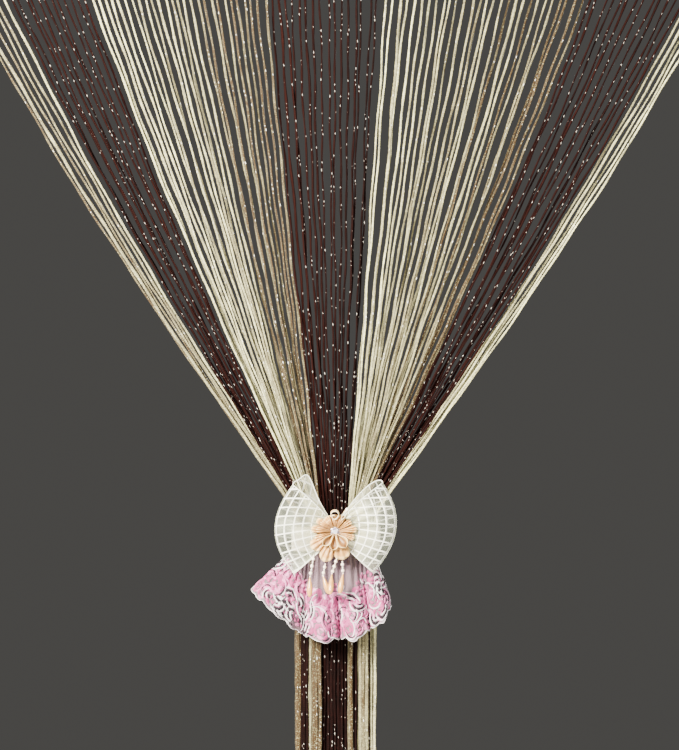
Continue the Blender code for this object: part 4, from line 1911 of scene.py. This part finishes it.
@dataclass(frozen=True)
class FlowerTier:
    """Petals that run round from a start angle, anticlockwise as seen from the front."""

    piece: str
    node: str
    start: float
    valley: float
    back_y: float
    petals: tuple[Petal, ...]
    cup: float = 0.39
    thickness: float = 0.0005
    leaf_rows: int = 13
    leaf_columns: int = 21
    leaf_root: float = 0.12
    leaf_cloth: Cloth = (0.0011, 0.0022)
    standing: float = 0.0012
    shallowest: float = 0.9
    curl: float = 0.0022
    curling: Ramp = (0.75, 0.25)
    pleat: float = 0.0018
    tuck: float = 0.0034
    overlap: float = 0.0012
    ruffle: float = 0.0017
    dome: float = 0.0024
    narrowest: float = 0.05
    crease: float = 0.0046
    bend: float = 0.0030
    bending: Ramp = (0.8, 0.2)
    point_overlap: float = 0.0014
    # Where the petals get painted highlight and painted shade.
    point_edge: Ramp = (0.60, 0.25)
    point_pale: float = 0.4
    point_shade: float = 1.1
    rim_edge: Ramp = (0.86, 0.12)
    root_shade: float = 0.9
    crease_shade: float = 0.85
    fading: float = 1.2
    looped_length: float = 0.72
    loop_root: float = 0.60
    loop_rows: int = 41
    loop_columns: int = 6
    loop_cloth: Cloth = (0.0011, 0.0010)
    loop_lift: float = 0.0008
    loop_depth: float = 0.0050
    loop_taper: float = 0.08
    bead_lift: float = 0.004
    bead_radius: float = 0.0019

    def build(self) -> None:
        """Makes the tier's petals as one piece."""
        skin = Skin()
        start = radians(self.start)
        for number, petal in enumerate(self.petals):
            turn = radians(petal.turn)
            middle = start + 0.5 * turn
            if petal.form is PetalForm.LOOPED:
                self.add_loop(skin, petal, middle, turn)
            self.add_leaf(skin, petal, middle, turn, number)
            start += turn
        finishes = [PEACH, PALE_PEACH, PEARL]
        made = make_piece(self.piece, skin, finishes, Slot.SATIN, [self.node])
        thicken(made, self.thickness)

    def at(self, radius: float, angle: float, forward: float) -> Vector:
        """The point at a radius and angle from the flower's middle, so far in front of the cup."""
        y = self.back_y - self.cup * radius - forward
        return TIE + Vector((radius * cos(angle), y, radius * sin(angle)))

    def add_leaf(self, skin: Skin, petal: Petal, middle: float, turn: float, number: int) -> None:
        """Adds a petal in two layers, or one where it is folded to a point.

        Args:
            skin: the tier's skin.
            petal: its length and form.
            middle: the angle of its middle.
            turn: the angle that it takes up.
            number: its place in the tier.
        """
        form, length = petal.form, petal.length
        if form is PetalForm.LOOPED:
            form, length = PetalForm.PLEATED, self.looped_length * length
        reach = CUTS[form].reach * turn
        outward = steps(self.leaf_rows, self.leaf_root, 1.0)
        sideways = steps(self.leaf_columns, -1.0, 1.0)
        shades = [[self.shades(form, share, across) for across in sideways] for share in outward]
        for scale, lift in CUTS[form].layers:
            rows = []
            for share in outward:
                row = []
                for across in sideways:
                    blunt = sqrt(1.0 - across * across)
                    notch = min(self.valley, self.shallowest * length)
                    rim, narrowed = mix(notch, length, blunt) * scale, 1.0
                    if form is PetalForm.POINTED:
                        swell = sin(pi * share**1.4) ** 0.7
                        rim, narrowed = length, self.narrowest + swell
                    forward = self.standing + lift + self.relief(form, share, across, number)
                    angle = middle + reach * narrowed * across
                    row.append(self.at(rim * share, angle, forward))
                rows.append(row)
            skin.grid(
                rows,
                lambda row, column: (self.leaf_cloth[0] * column, self.leaf_cloth[1] * row),
                tone=lambda row, column: shades[row][column][0],
                rim=lambda row, column: shades[row][column][1],
            )

    def relief(self, form: PetalForm, share: float, across: float, number: int) -> float:
        """How far a petal's cloth stands forward.

        Args:
            form: the petal's form.
            share: from its root to its rim.
            across: from -1 to 1 across it.
            number: its place in the tier.

        Returns:
            The distance.
        """
        curl = self.curl * ramp(share, *self.curling)
        if form is PetalForm.POINTED:
            bend = self.bend * ramp(share, *self.bending)
            return self.crease * across * across - bend + self.point_overlap * (number % 2)
        if form is PetalForm.CUPPED:
            wave = sin(CUTS[form].creases * pi * across + number)
            dome = self.dome * (1.0 - across * across) * sin(pi * share)
            return self.ruffle * wave * share**2 + dome - curl
        pleat = self.pleat * cos(CUTS[form].creases * pi * across) * share
        return pleat - curl - self.tuck * abs(across) ** 4 + self.overlap * (number % 2)

    def shades(self, form: PetalForm, share: float, across: float) -> Pair:
        """How much painted shade the satin gets, and how near a point is to a folded edge painted
        paler as a highlight.

        Args:
            form: the petal's form.
            share: from its root to its rim.
            across: from -1 to 1 across it.

        Returns:
            Both, from 0 to 1.
        """
        side = abs(across)
        if form is PetalForm.POINTED:
            pale = ramp(side, *self.point_edge) * eased(share / self.point_pale)
            return min(1.0, self.point_shade * (1.0 - side**3)), pale
        crease = 0.5 - 0.5 * cos(CUTS[form].creases * pi * across)
        deep = self.root_shade * (1.0 - share) ** self.fading
        deep += self.crease_shade * crease * (self.fading - share)
        return min(1.0, deep + side**5), ramp(share, *self.rim_edge) * (1.0 - side**4)

    def add_loop(self, skin: Skin, petal: Petal, middle: float, turn: float) -> None:
        """Adds a ribbon that runs out, round and back, edge to the front, over its petal.

        Args:
            skin: the tier's skin.
            petal: its length and width.
            middle: the angle of its middle.
            turn: the angle that it takes up.
        """
        half_width = petal.length * tan(0.5 * turn) * petal.width
        rows = []
        for share in steps(self.loop_rows):
            outward = 0.5 * (1.0 - cos(TURN * share))
            radial = mix(self.loop_root, 1.0, outward) * petal.length
            full = 0.55 + 0.65 * sin(pi * share)
            sideways = half_width * sin(TURN * share) * full
            radius, angle = hypot(radial, sideways), middle + atan2(sideways, radial)
            row = []
            for deep in steps(self.loop_columns):
                forward = self.loop_lift + self.loop_depth * deep
                row.append(self.at(radius * (1.0 - self.loop_taper * deep), angle, forward))
            rows.append(row)
        skin.grid(
            rows,
            lambda row, column: (self.loop_cloth[0] * column, self.loop_cloth[1] * row),
            finish=1,
            # Painted shade deepens toward the back of the loop; its front edge gets a painted
            # highlight.
            tone=lambda row, column: 0.7 - 0.14 * column,
            rim=lambda row, column: ramp(column, 2.0, 3.0),
        )
        if petal.beaded:
            bead = self.at(petal.length, middle, self.bead_lift)
            skin.ball(bead, self.bead_radius, 12, 2)


@dataclass(frozen=True)
class CentreStone:
    """The faceted stone and its cup."""

    node: str = "centre_stone"
    sides: int = 12
    base: float = 0.80
    girdle: float = 0.28
    shoulder: Pair = (0.84, 0.66)
    table: float = 0.52
    rim_sides: int = 40
    rim_lift: float = 0.0004
    rim_size: Pair = (0.0004, 0.0006)
    prongs: int = 4
    prong_reach: Pair = (1.02, 0.84)
    prong_height: float = 0.55
    prong: tuple[Pair, ...] = ((0.0, 0.0006), (0.6, 0.0006), (0.9, 0.0005), (1.0, 0.0002))

    def build(self) -> None:
        """Makes the stone's facets, painted bright and dark by turns as reflections, its cup and
        its prongs.
        """
        low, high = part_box(self.node)
        centre = 0.5 * (low + high)
        radius = 0.5 * (high.x - low.x)
        back, front = high.y, low.y
        girdle_y = mix(back, front, self.girdle)

        def at(reach: float, y: float, angle: float) -> Vector:
            """The point at a distance and an angle round the stone's middle line."""
            return Vector((centre.x + reach * cos(angle), y, centre.z + reach * sin(angle)))

        skin = Skin()
        shoulder, height = self.shoulder
        rings = (
            (self.base, back),
            (1.0, girdle_y),
            (shoulder, mix(back, front, height)),
            (self.table, front),
        )
        turns = circle(self.sides, 0.5)
        rows = [[at(share * radius, y, angle) for angle in turns] for share, y in rings]
        # Facets take the bright and dark painted reflections by turns.
        skin.grid(
            rows,
            lambda row, column: (0.001 * column, 0.001 * row),
            finish=lambda row, column: (column // 2 + row) % 2 if row < 3 else 0,
            ring=True,
            capped=True,
        )
        facets = [FACET_BRIGHT_REFLECTION, FACET_DARK_REFLECTION]
        make_piece("stone_facets", skin, facets, Slot.STONE, [self.node], smooth=False)
        cup = Skin()
        rim = [at(radius, girdle_y + self.rim_lift, angle) for angle in circle(self.rim_sides)]
        cup.sweep(rim, lambda row: self.rim_size, 8, lambda row: FRONT, closed=True)
        for angle in circle(self.prongs, 0.5):
            reach = Vector((cos(angle), 0.0, sin(angle)))
            start, tip = (centre + reach * (share * radius) for share in self.prong_reach)
            start.y, tip.y = back, mix(back, front, self.prong_height)
            cup.turned(start, tip, self.prong, 8)
        make_piece("stone_cup", cup, [STONE_CUP], Slot.STONE)


@dataclass(frozen=True)
class Dangle:
    """A string of pearls with a drop, from the flower's middle: x and z of its three points."""

    node: str
    top: Pair
    knee: Pair
    tip: Pair
    forward: float
    pearls: int
    top_y: float = -0.0345
    thread_radius: float = 0.0004
    pearl_radius: float = 0.0020
    spacer_radius: float = 0.0009
    drop_radius: float = 0.0032
    drop_rings: int = 18
    drop_neck: float = 0.16
    drop_widest: float = 0.65
    drop_fullness: float = 1.15

    def build(self) -> None:
        """Makes the thread, pearls, spacers and drop."""
        fallen = (self.top[1] - self.knee[1]) / (self.top[1] - self.tip[1])
        knee_y = mix(self.top_y, -self.forward, fallen)
        top = TIE + Vector((self.top[0], self.top_y, self.top[1]))
        knee = TIE + Vector((self.knee[0], knee_y, self.knee[1]))
        tip = TIE + Vector((self.tip[0], -self.forward, self.tip[1]))
        skin = Skin()
        skin.cord([top.lerp(knee, share) for share in steps(8)], self.thread_radius)
        for number in range(self.pearls):
            share = (number + 0.5) / self.pearls
            skin.ball(top.lerp(knee, share), self.pearl_radius, 16)
        for number in range(self.pearls + 1):
            skin.ball(top.lerp(knee, number / self.pearls), self.spacer_radius, 10)
        profile = []
        for share in steps(self.drop_rings):
            if share < self.drop_widest:
                filled = (share / self.drop_widest) ** self.drop_fullness
                swell = mix(self.drop_neck, 1.0, sin(0.25 * TURN * filled))
            else:
                past = (share - self.drop_widest) / (1.0 - self.drop_widest)
                swell = sqrt(max(0.0, 1.0 - past**2))
            profile.append((share, self.drop_radius * swell))
        skin.turned(knee, tip, profile, 18, 1)
        name = self.node.replace("dangle", "pearl_string")
        make_piece(name, skin, [PEARL, AMBER], Slot.PEARL, [self.node])


class Thread(Enum):
    """The frill's embroidery threads, by their place in its finishes."""

    PINK = 0
    PALE_PINK = 1
    WHITE = 2
    CHARCOAL_SHADOW = 3


class Motif(Enum):
    """What is embroidered at one place on the lace."""

    ROSE = "rose"
    SCROLL = "scroll"
    SPRIG = "sprig"


@dataclass(frozen=True)
class Crescent:
    """One crescent of satin stitch, about the middle of its motif."""

    radius: float
    start: float
    sweep: float
    width: float
    lift: float
    thread: Thread
    middle: Pair = (0.0, 0.0)


@dataclass(frozen=True)
class Fold:
    """One valley or crest of the frill, below the flower's middle."""

    top_x: float
    top_drop: float
    hem_x: float
    hem_drop: float
    forward: float


@dataclass(frozen=True)
class LaceFrill:
    """The gathered lace: plain net above, embroidered roses below and a scalloped hem."""

    node: str = "lace_frill"
    folds: tuple[Fold, ...] = (
        Fold(-0.0520, 0.026, -0.0965, 0.0695, 0.004),
        Fold(-0.0420, 0.029, -0.0690, 0.0930, 0.040),
        Fold(-0.0310, 0.036, -0.0360, 0.1190, 0.017),
        Fold(-0.0190, 0.019, -0.0155, 0.1270, 0.044),
        Fold(-0.0010, 0.017, 0.0060, 0.1235, 0.020),
        Fold(0.0160, 0.020, 0.0240, 0.1240, 0.044),
        Fold(0.0300, 0.036, 0.0400, 0.1130, 0.018),
        Fold(0.0390, 0.032, 0.0550, 0.1030, 0.036),
        Fold(0.0460, 0.029, 0.0645, 0.0870, 0.006),
    )
    top_depth: float = 0.0148
    top_half_width: float = 0.066
    flare: float = 1.3
    roundness: float = 0.8
    columns: int = 241
    rows: int = 49
    scallop_pitch: float = 0.0155
    scallop_depth: float = 0.0026
    scalloping: Ramp = (0.8, 0.2)
    ripple: float = 0.0018
    ripple_pitch: float = 0.019
    swing_pitch: float = 0.027
    gather: float = 0.0021
    gather_pitch: float = 0.0125
    shortened: float = 0.975
    measured_down: float = 0.85
    hem_steps: int = 481
    hem_radius: float = 0.0005
    end_radius: float = 0.0004
    thread_lift: float = 0.0003
    motif_radius: float = 0.0118
    motif_pitch: float = 0.0160
    motif_rows: tuple[float, ...] = (0.0105, 0.0265, 0.0415, 0.0550)
    motif_sizes: Pair = (0.88, 1.12)
    motif_lifts: Pair = (0.9, 1.1)
    motif_gaps: Pair = (0.85, 1.12)
    motif_starts: Pair = (0.62, 0.30)
    highest: float = 0.12
    sprig_row: int = 3
    scrolled_left: Pair = (0.8, 2.4)
    scrolled_right: float = 6.6
    scroll_shares: Pair = (0.70, 0.20)
    scroll_stray: float = 0.10
    # White arcs, each with a charcoal arc inside it as painted shadow.
    nest: tuple[tuple[float, float, Thread], ...] = (
        (0.98, 0.24, Thread.WHITE),
        (0.72, 0.34, Thread.CHARCOAL_SHADOW),
        (0.46, 0.24, Thread.WHITE),
        (0.22, 0.24, Thread.CHARCOAL_SHADOW),
    )

    def bare_point(self, place: float, down: float) -> Vector:
        """A point of the folded cloth without its scallops and ripples.

        Args:
            place: the number of the fold, with its share of the way to the next.
            down: 0 at the gathered edge, 1 at the hem.

        Returns:
            The point, from the flower's middle.
        """
        index = min(int(place), len(self.folds) - 2)
        share = place - index
        before, after = self.folds[index], self.folds[index + 1]
        soft, sharp = sin(0.25 * TURN * share), 1.0 - cos(0.25 * TURN * share)
        rising = before.forward < after.forward
        across, rise = (sharp, soft) if rising else (soft, sharp)
        top_x = mix(before.top_x, after.top_x, share)
        top_z = -mix(before.top_drop, after.top_drop, across)
        hem_x = mix(before.hem_x, after.hem_x, mix(share, across, self.roundness))
        hem_z = -mix(before.hem_drop, after.hem_drop, across) * self.shortened
        hem_y = -mix(before.forward, after.forward, rise)
        sideways = min(1.0, abs(top_x) / self.top_half_width)
        top_y = -self.top_depth * (1.0 - sideways**3)
        return Vector(
            (mix(top_x, hem_x, down), mix(top_y, hem_y, down**self.flare), mix(top_z, hem_z, down))
        )

    def measured(self) -> list[Pair]:
        """Places along the frill with their distance along the cloth near its hem.

        Returns:
            Pairs of place and distance.
        """
        places = steps(401, 0.0, len(self.folds) - 1.0)
        far = distances([self.bare_point(place, self.measured_down) for place in places])
        return list(zip(places, far))

    def build(self) -> None:
        """Makes the net, its embroidery, its corded hem and its sewn ends."""
        table = self.measured()

        def along(place: float) -> float:
            """The distance along the cloth at a place.

            Args:
                place: the number of the fold and its share.

            Returns:
                The distance.
            """
            spot = place / (len(self.folds) - 1.0) * (len(table) - 1)
            index = min(int(max(0.0, spot)), len(table) - 2)
            return mix(table[index][1], table[index + 1][1], spot - index)

        def point(place: float, down: float) -> Vector:
            """A point of the lace, with its scallops and ripples.

            Args:
                place: the number of the fold and its share.
                down: 0 at the gathered edge, 1 at the hem.

            Returns:
                The point.
            """
            base, distance = self.bare_point(place, down), along(place)
            turn = TURN * distance
            scallop = abs(sin(pi * distance / self.scallop_pitch))
            base.z -= self.scallop_depth * scallop * ramp(down, *self.scalloping)
            base.y -= self.ripple * sin(turn / self.ripple_pitch + 4.0 * down) * down**2
            base.z += 0.5 * self.ripple * sin(turn / self.swing_pitch) * down**2
            gathered = sin(turn / self.gather_pitch + 3.0 * down)
            base.y += self.gather * gathered * (1.0 - down)
            return TIE + base

        last = len(self.folds) - 1.0
        places, downs = steps(self.columns, 0.0, last), steps(self.rows)
        rows = [[point(place, down) for down in downs] for place in places]
        drops = [distances(row) for row in rows]
        skin = Skin()
        skin.grid(rows, lambda row, column: (along(places[row]), drops[row][column]))
        net = make_piece("lace_net", skin, [NET], Slot.LACE, [self.node])
        motifs = self.add_motifs(point, table)
        hem = Skin()
        edge = [point(place, 1.0) for place in steps(self.hem_steps, 0.0, last)]
        hem.cord(edge, self.hem_radius)
        for end in (0.0, last):
            hem.cord([point(end, down) for down in downs], self.end_radius)
        cord = make_piece("lace_hem_cord", hem, [WHITE], Slot.LACE)
        cut = sum(
            (along(after) - along(before)) * 0.5 * (left[-1] + right[-1])
            for before, after, left, right in zip(places, places[1:], drops, drops[1:])
        )

    def add_motifs(
        self, point: Callable[[float, float], Vector], table: Sequence[Pair]
    ) -> bpy.types.Object:
        """Embroiders rows of roses and scrolls, with sprigs above them.

        Args:
            point: gives a point of the lace.
            table: places along the frill with their distances.

        Returns:
            The embroidery, as one piece.
        """
        chance = Random(31)
        skin = Skin()
        full = table[-1][1]
        for row, lift in enumerate(self.motif_rows):
            distance = self.motif_starts[row % 2] * self.motif_pitch
            while distance < full - 0.3 * self.motif_pitch:
                place = next(spot for spot, far in table if far >= distance)
                drop = (point(place, 1.0) - point(place, 0.0)).length
                down = 1.0 - lift * chance.uniform(*self.motif_lifts) / drop
                kind = self.kind_at(place, row, chance)
                if down > self.highest:
                    self.add_motif(skin, point, place, down, self.crescents(kind, chance))
                distance += self.motif_pitch * chance.uniform(*self.motif_gaps)
        threads = [PINK, PALE_PINK, WHITE, CHARCOAL_SHADOW]
        return make_piece("lace_embroidery", skin, threads, Slot.LACE)

    def kind_at(self, place: float, row: int, chance: Random) -> Motif:
        """Chooses a motif: scrolls are common in the left lobe and at the right end.

        Args:
            place: where it is along the frill.
            row: its row, from the hem up.
            chance: the seeded source.

        Returns:
            The motif.
        """
        if row == self.sprig_row:
            return Motif.SPRIG
        start, end = self.scrolled_left
        scrolled = start < place < end or place > self.scrolled_right
        share = self.scroll_shares[row // 2] if scrolled else self.scroll_stray
        return Motif.SCROLL if chance.random() < share else Motif.ROSE

    def crescents(self, kind: Motif, chance: Random) -> list[Crescent]:
        """The crescents of a motif, turned, sized and coloured by chance.

        Args:
            kind: the motif.
            chance: the seeded source.

        Returns:
            Its crescents.
        """
        size = self.motif_radius * chance.uniform(*self.motif_sizes)
        turned = chance.uniform(0.0, TURN)
        pinks = (Thread.PINK, Thread.PINK, Thread.PALE_PINK)
        made = []

        def add(
            reach: float, start: float, sweep: float, width: float, lift: float, thread: Thread
        ) -> None:
            """Adds a crescent, its sizes as shares of the motif's and its angles of a turn."""
            begin, swept = turned + TURN * start, sweep * TURN
            made.append(Crescent(reach * size, begin, swept, width * size, lift, thread, centre))

        centre = (0.0, 0.0)
        if kind is Motif.SPRIG:
            for number in range(4):
                add(0.30, number / 4.0, 0.20, 0.32, 0.0006, chance.choice(pinks))
            add(0.52, chance.random(), 0.25, 0.12, 0.0008, Thread.WHITE)
            return made
        petals = 6 if kind is Motif.ROSE else 3
        for number in range(petals):
            reach = 0.72 * chance.uniform(0.85, 1.15)
            width = chance.uniform(0.36, 0.50)
            add(reach, number / petals, 0.21, width, 0.0007, chance.choice(pinks))
        for number in range(3):
            add(0.30, 0.1 + number / 3.0, 0.30, 0.30, 0.0012, chance.choice(pinks))
        arcs = chance.choice((1, 1, 2)) if kind is Motif.ROSE else 2
        for number in range(arcs):
            angle = TURN * (number / arcs + chance.uniform(-0.08, 0.08))
            start, sweep = chance.random(), chance.uniform(0.34, 0.50)
            if kind is Motif.SCROLL:
                centre = (0.50 * size * cos(angle), 0.50 * size * sin(angle))
                for ring, (reach, width, thread) in enumerate(self.nest):
                    add(reach, start + 0.03 * ring, sweep, width, 0.0018, thread)
            else:
                centre = (0.30 * size * cos(angle), 0.30 * size * sin(angle))
                reach, pale = chance.uniform(0.70, 1.15), chance.random() < 0.5
                add(reach, start, sweep, 0.20, 0.0015, Thread.PALE_PINK if pale else Thread.WHITE)
                # A charcoal arc inside the pale one, as its painted shadow.
                if chance.random() < 0.5:
                    add(reach - 0.20, start + 0.02, 0.8 * sweep, 0.20, 0.0016, Thread.CHARCOAL_SHADOW)
        return made

    def add_motif(
        self,
        skin: Skin,
        point: Callable[[float, float], Vector],
        place: float,
        down: float,
        crescents: Sequence[Crescent],
    ) -> None:
        """Lays a motif's crescents on the lace.

        Args:
            skin: the embroidery's skin.
            point: gives a point of the lace.
            place: where the motif's middle is along the frill.
            down: where it is between the gathered edge and the hem.
            crescents: the motif.
        """
        last, nudge = len(self.folds) - 1.0, 0.04
        side = point(min(last, place + nudge), down) - point(max(0.0, place - nudge), down)
        drop = point(place, min(1.0, down + nudge)) - point(place, down - nudge)
        per_place = side.length / (min(last, place + nudge) - max(0.0, place - nudge))
        per_down = drop.length / (min(1.0, down + nudge) - down + nudge)

        def on_lace(x: float, z: float, lift: float) -> Vector:
            """The point at an offset from the motif's middle, raised off the lace.

            Args:
                x: to the right.
                z: upwards.
                lift: how far it is raised.

            Returns:
                The point.
            """
            beside, below = 0.01, 0.008
            spot = min(last - beside, max(beside, place + x / per_place))
            low = min(1.0 - below, max(0.03, down - z / per_down))
            here = point(spot, low)
            level, steep = point(spot + beside, low) - here, point(spot, low + below) - here
            raised = level.cross(steep).normalized()
            if raised.y > 0.0:
                raised = -raised
            return here + raised * lift

        shares, columns = steps(9), steps(5, -1.0, 1.0)
        for crescent in crescents:
            x, z = crescent.middle
            rows = []
            for share in shares:
                angle = crescent.start + crescent.sweep * share
                full = sin(pi * share)
                half = 0.5 * crescent.width * max(0.08, full) ** 0.7
                row = []
                for column in columns:
                    reach = crescent.radius + half * column
                    lift = self.thread_lift + crescent.lift * (1.0 - column * column) * full**0.5
                    across, up = reach * cos(angle), reach * sin(angle)
                    row.append(on_lace(x + across, z + up, lift))
                rows.append(row)
            wide = crescent.width / (len(columns) - 1.0)
            long = crescent.radius * crescent.sweep / (len(shares) - 1.0)
            skin.grid(
                rows, lambda row, column: (wide * column, long * row), finish=crescent.thread.value
            )


@dataclass(frozen=True)
class Tieback:
    """The strap, bow, flower, dangles and frill, with the sizes that tell like parts apart."""

    loops: tuple[BowLoop, ...] = (
        BowLoop("bow_loop_left", -1.0, (0.0480, 0.0530), (0.0475, -0.0485), 0.069, peak=0.016),
        BowLoop("bow_loop_right", 1.0, (0.0542, 0.0554), (0.0436, -0.0469), 0.070),
    )
    front: tuple[Petal, ...] = (
        Petal(26, 0.0230, PetalForm.PLEATED),
        Petal(26, 0.0250, PetalForm.PLEATED),
        Petal(28, 0.0220, PetalForm.PLEATED),
        Petal(26, 0.0290, PetalForm.LOOPED, 0.30, True),
        Petal(32, 0.0255, PetalForm.LOOPED, 0.62),
        Petal(26, 0.0200, PetalForm.PLEATED),
        Petal(26, 0.0250, PetalForm.PLEATED),
        Petal(26, 0.0275, PetalForm.PLEATED),
        Petal(26, 0.0240, PetalForm.PLEATED),
        Petal(34, 0.0200, PetalForm.POINTED),
        Petal(38, 0.0205, PetalForm.POINTED),
        Petal(46, 0.0210, PetalForm.POINTED),
    )
    back: tuple[Petal, ...] = (
        Petal(36, 0.0330, PetalForm.CUPPED),
        Petal(34, 0.0360, PetalForm.CUPPED),
        Petal(44, 0.0330, PetalForm.CUPPED),
        Petal(246, 0.0195, PetalForm.PLEATED),
    )
    dangles: tuple[Dangle, ...] = (
        Dangle("dangle_1", (-0.0242, -0.0270), (-0.0286, -0.0510), (-0.0290, -0.0740), 0.043, 3),
        Dangle("dangle_2", (-0.0113, -0.0370), (-0.0138, -0.0498), (-0.0070, -0.0706), 0.041, 2),
        Dangle("dangle_3", (0.0017, -0.0310), (-0.0037, -0.0475), (-0.0055, -0.0706), 0.050, 3),
        Dangle("dangle_4", (0.0082, -0.0340), (0.0090, -0.0475), (0.0053, -0.0700), 0.043, 2),
    )

    def build(self) -> None:
        """Makes the sub-assemblies in order."""
        tiers = (
            FlowerTier("front_petals", "flower_front_petals", -31, 0.0170, -0.0269, self.front),
            FlowerTier("back_petals", "flower_back_petals", 196, 0.0190, -0.0238, self.back),
        )
        bow, flower = (*self.loops, BowKnot()), (*tiers, CentreStone())
        for part in (TieBand(), *bow, *flower, *self.dangles, LaceFrill()):
            part.build()


def main() -> None:
    """Builds the studio and every sub-assembly."""
    logging.basicConfig(level=logging.INFO, format="%(message)s")
    Studio().build()
    RodPocket().build()
    StrandFan().build()
    Tieback().build()


if __name__ == "__main__":
    main()
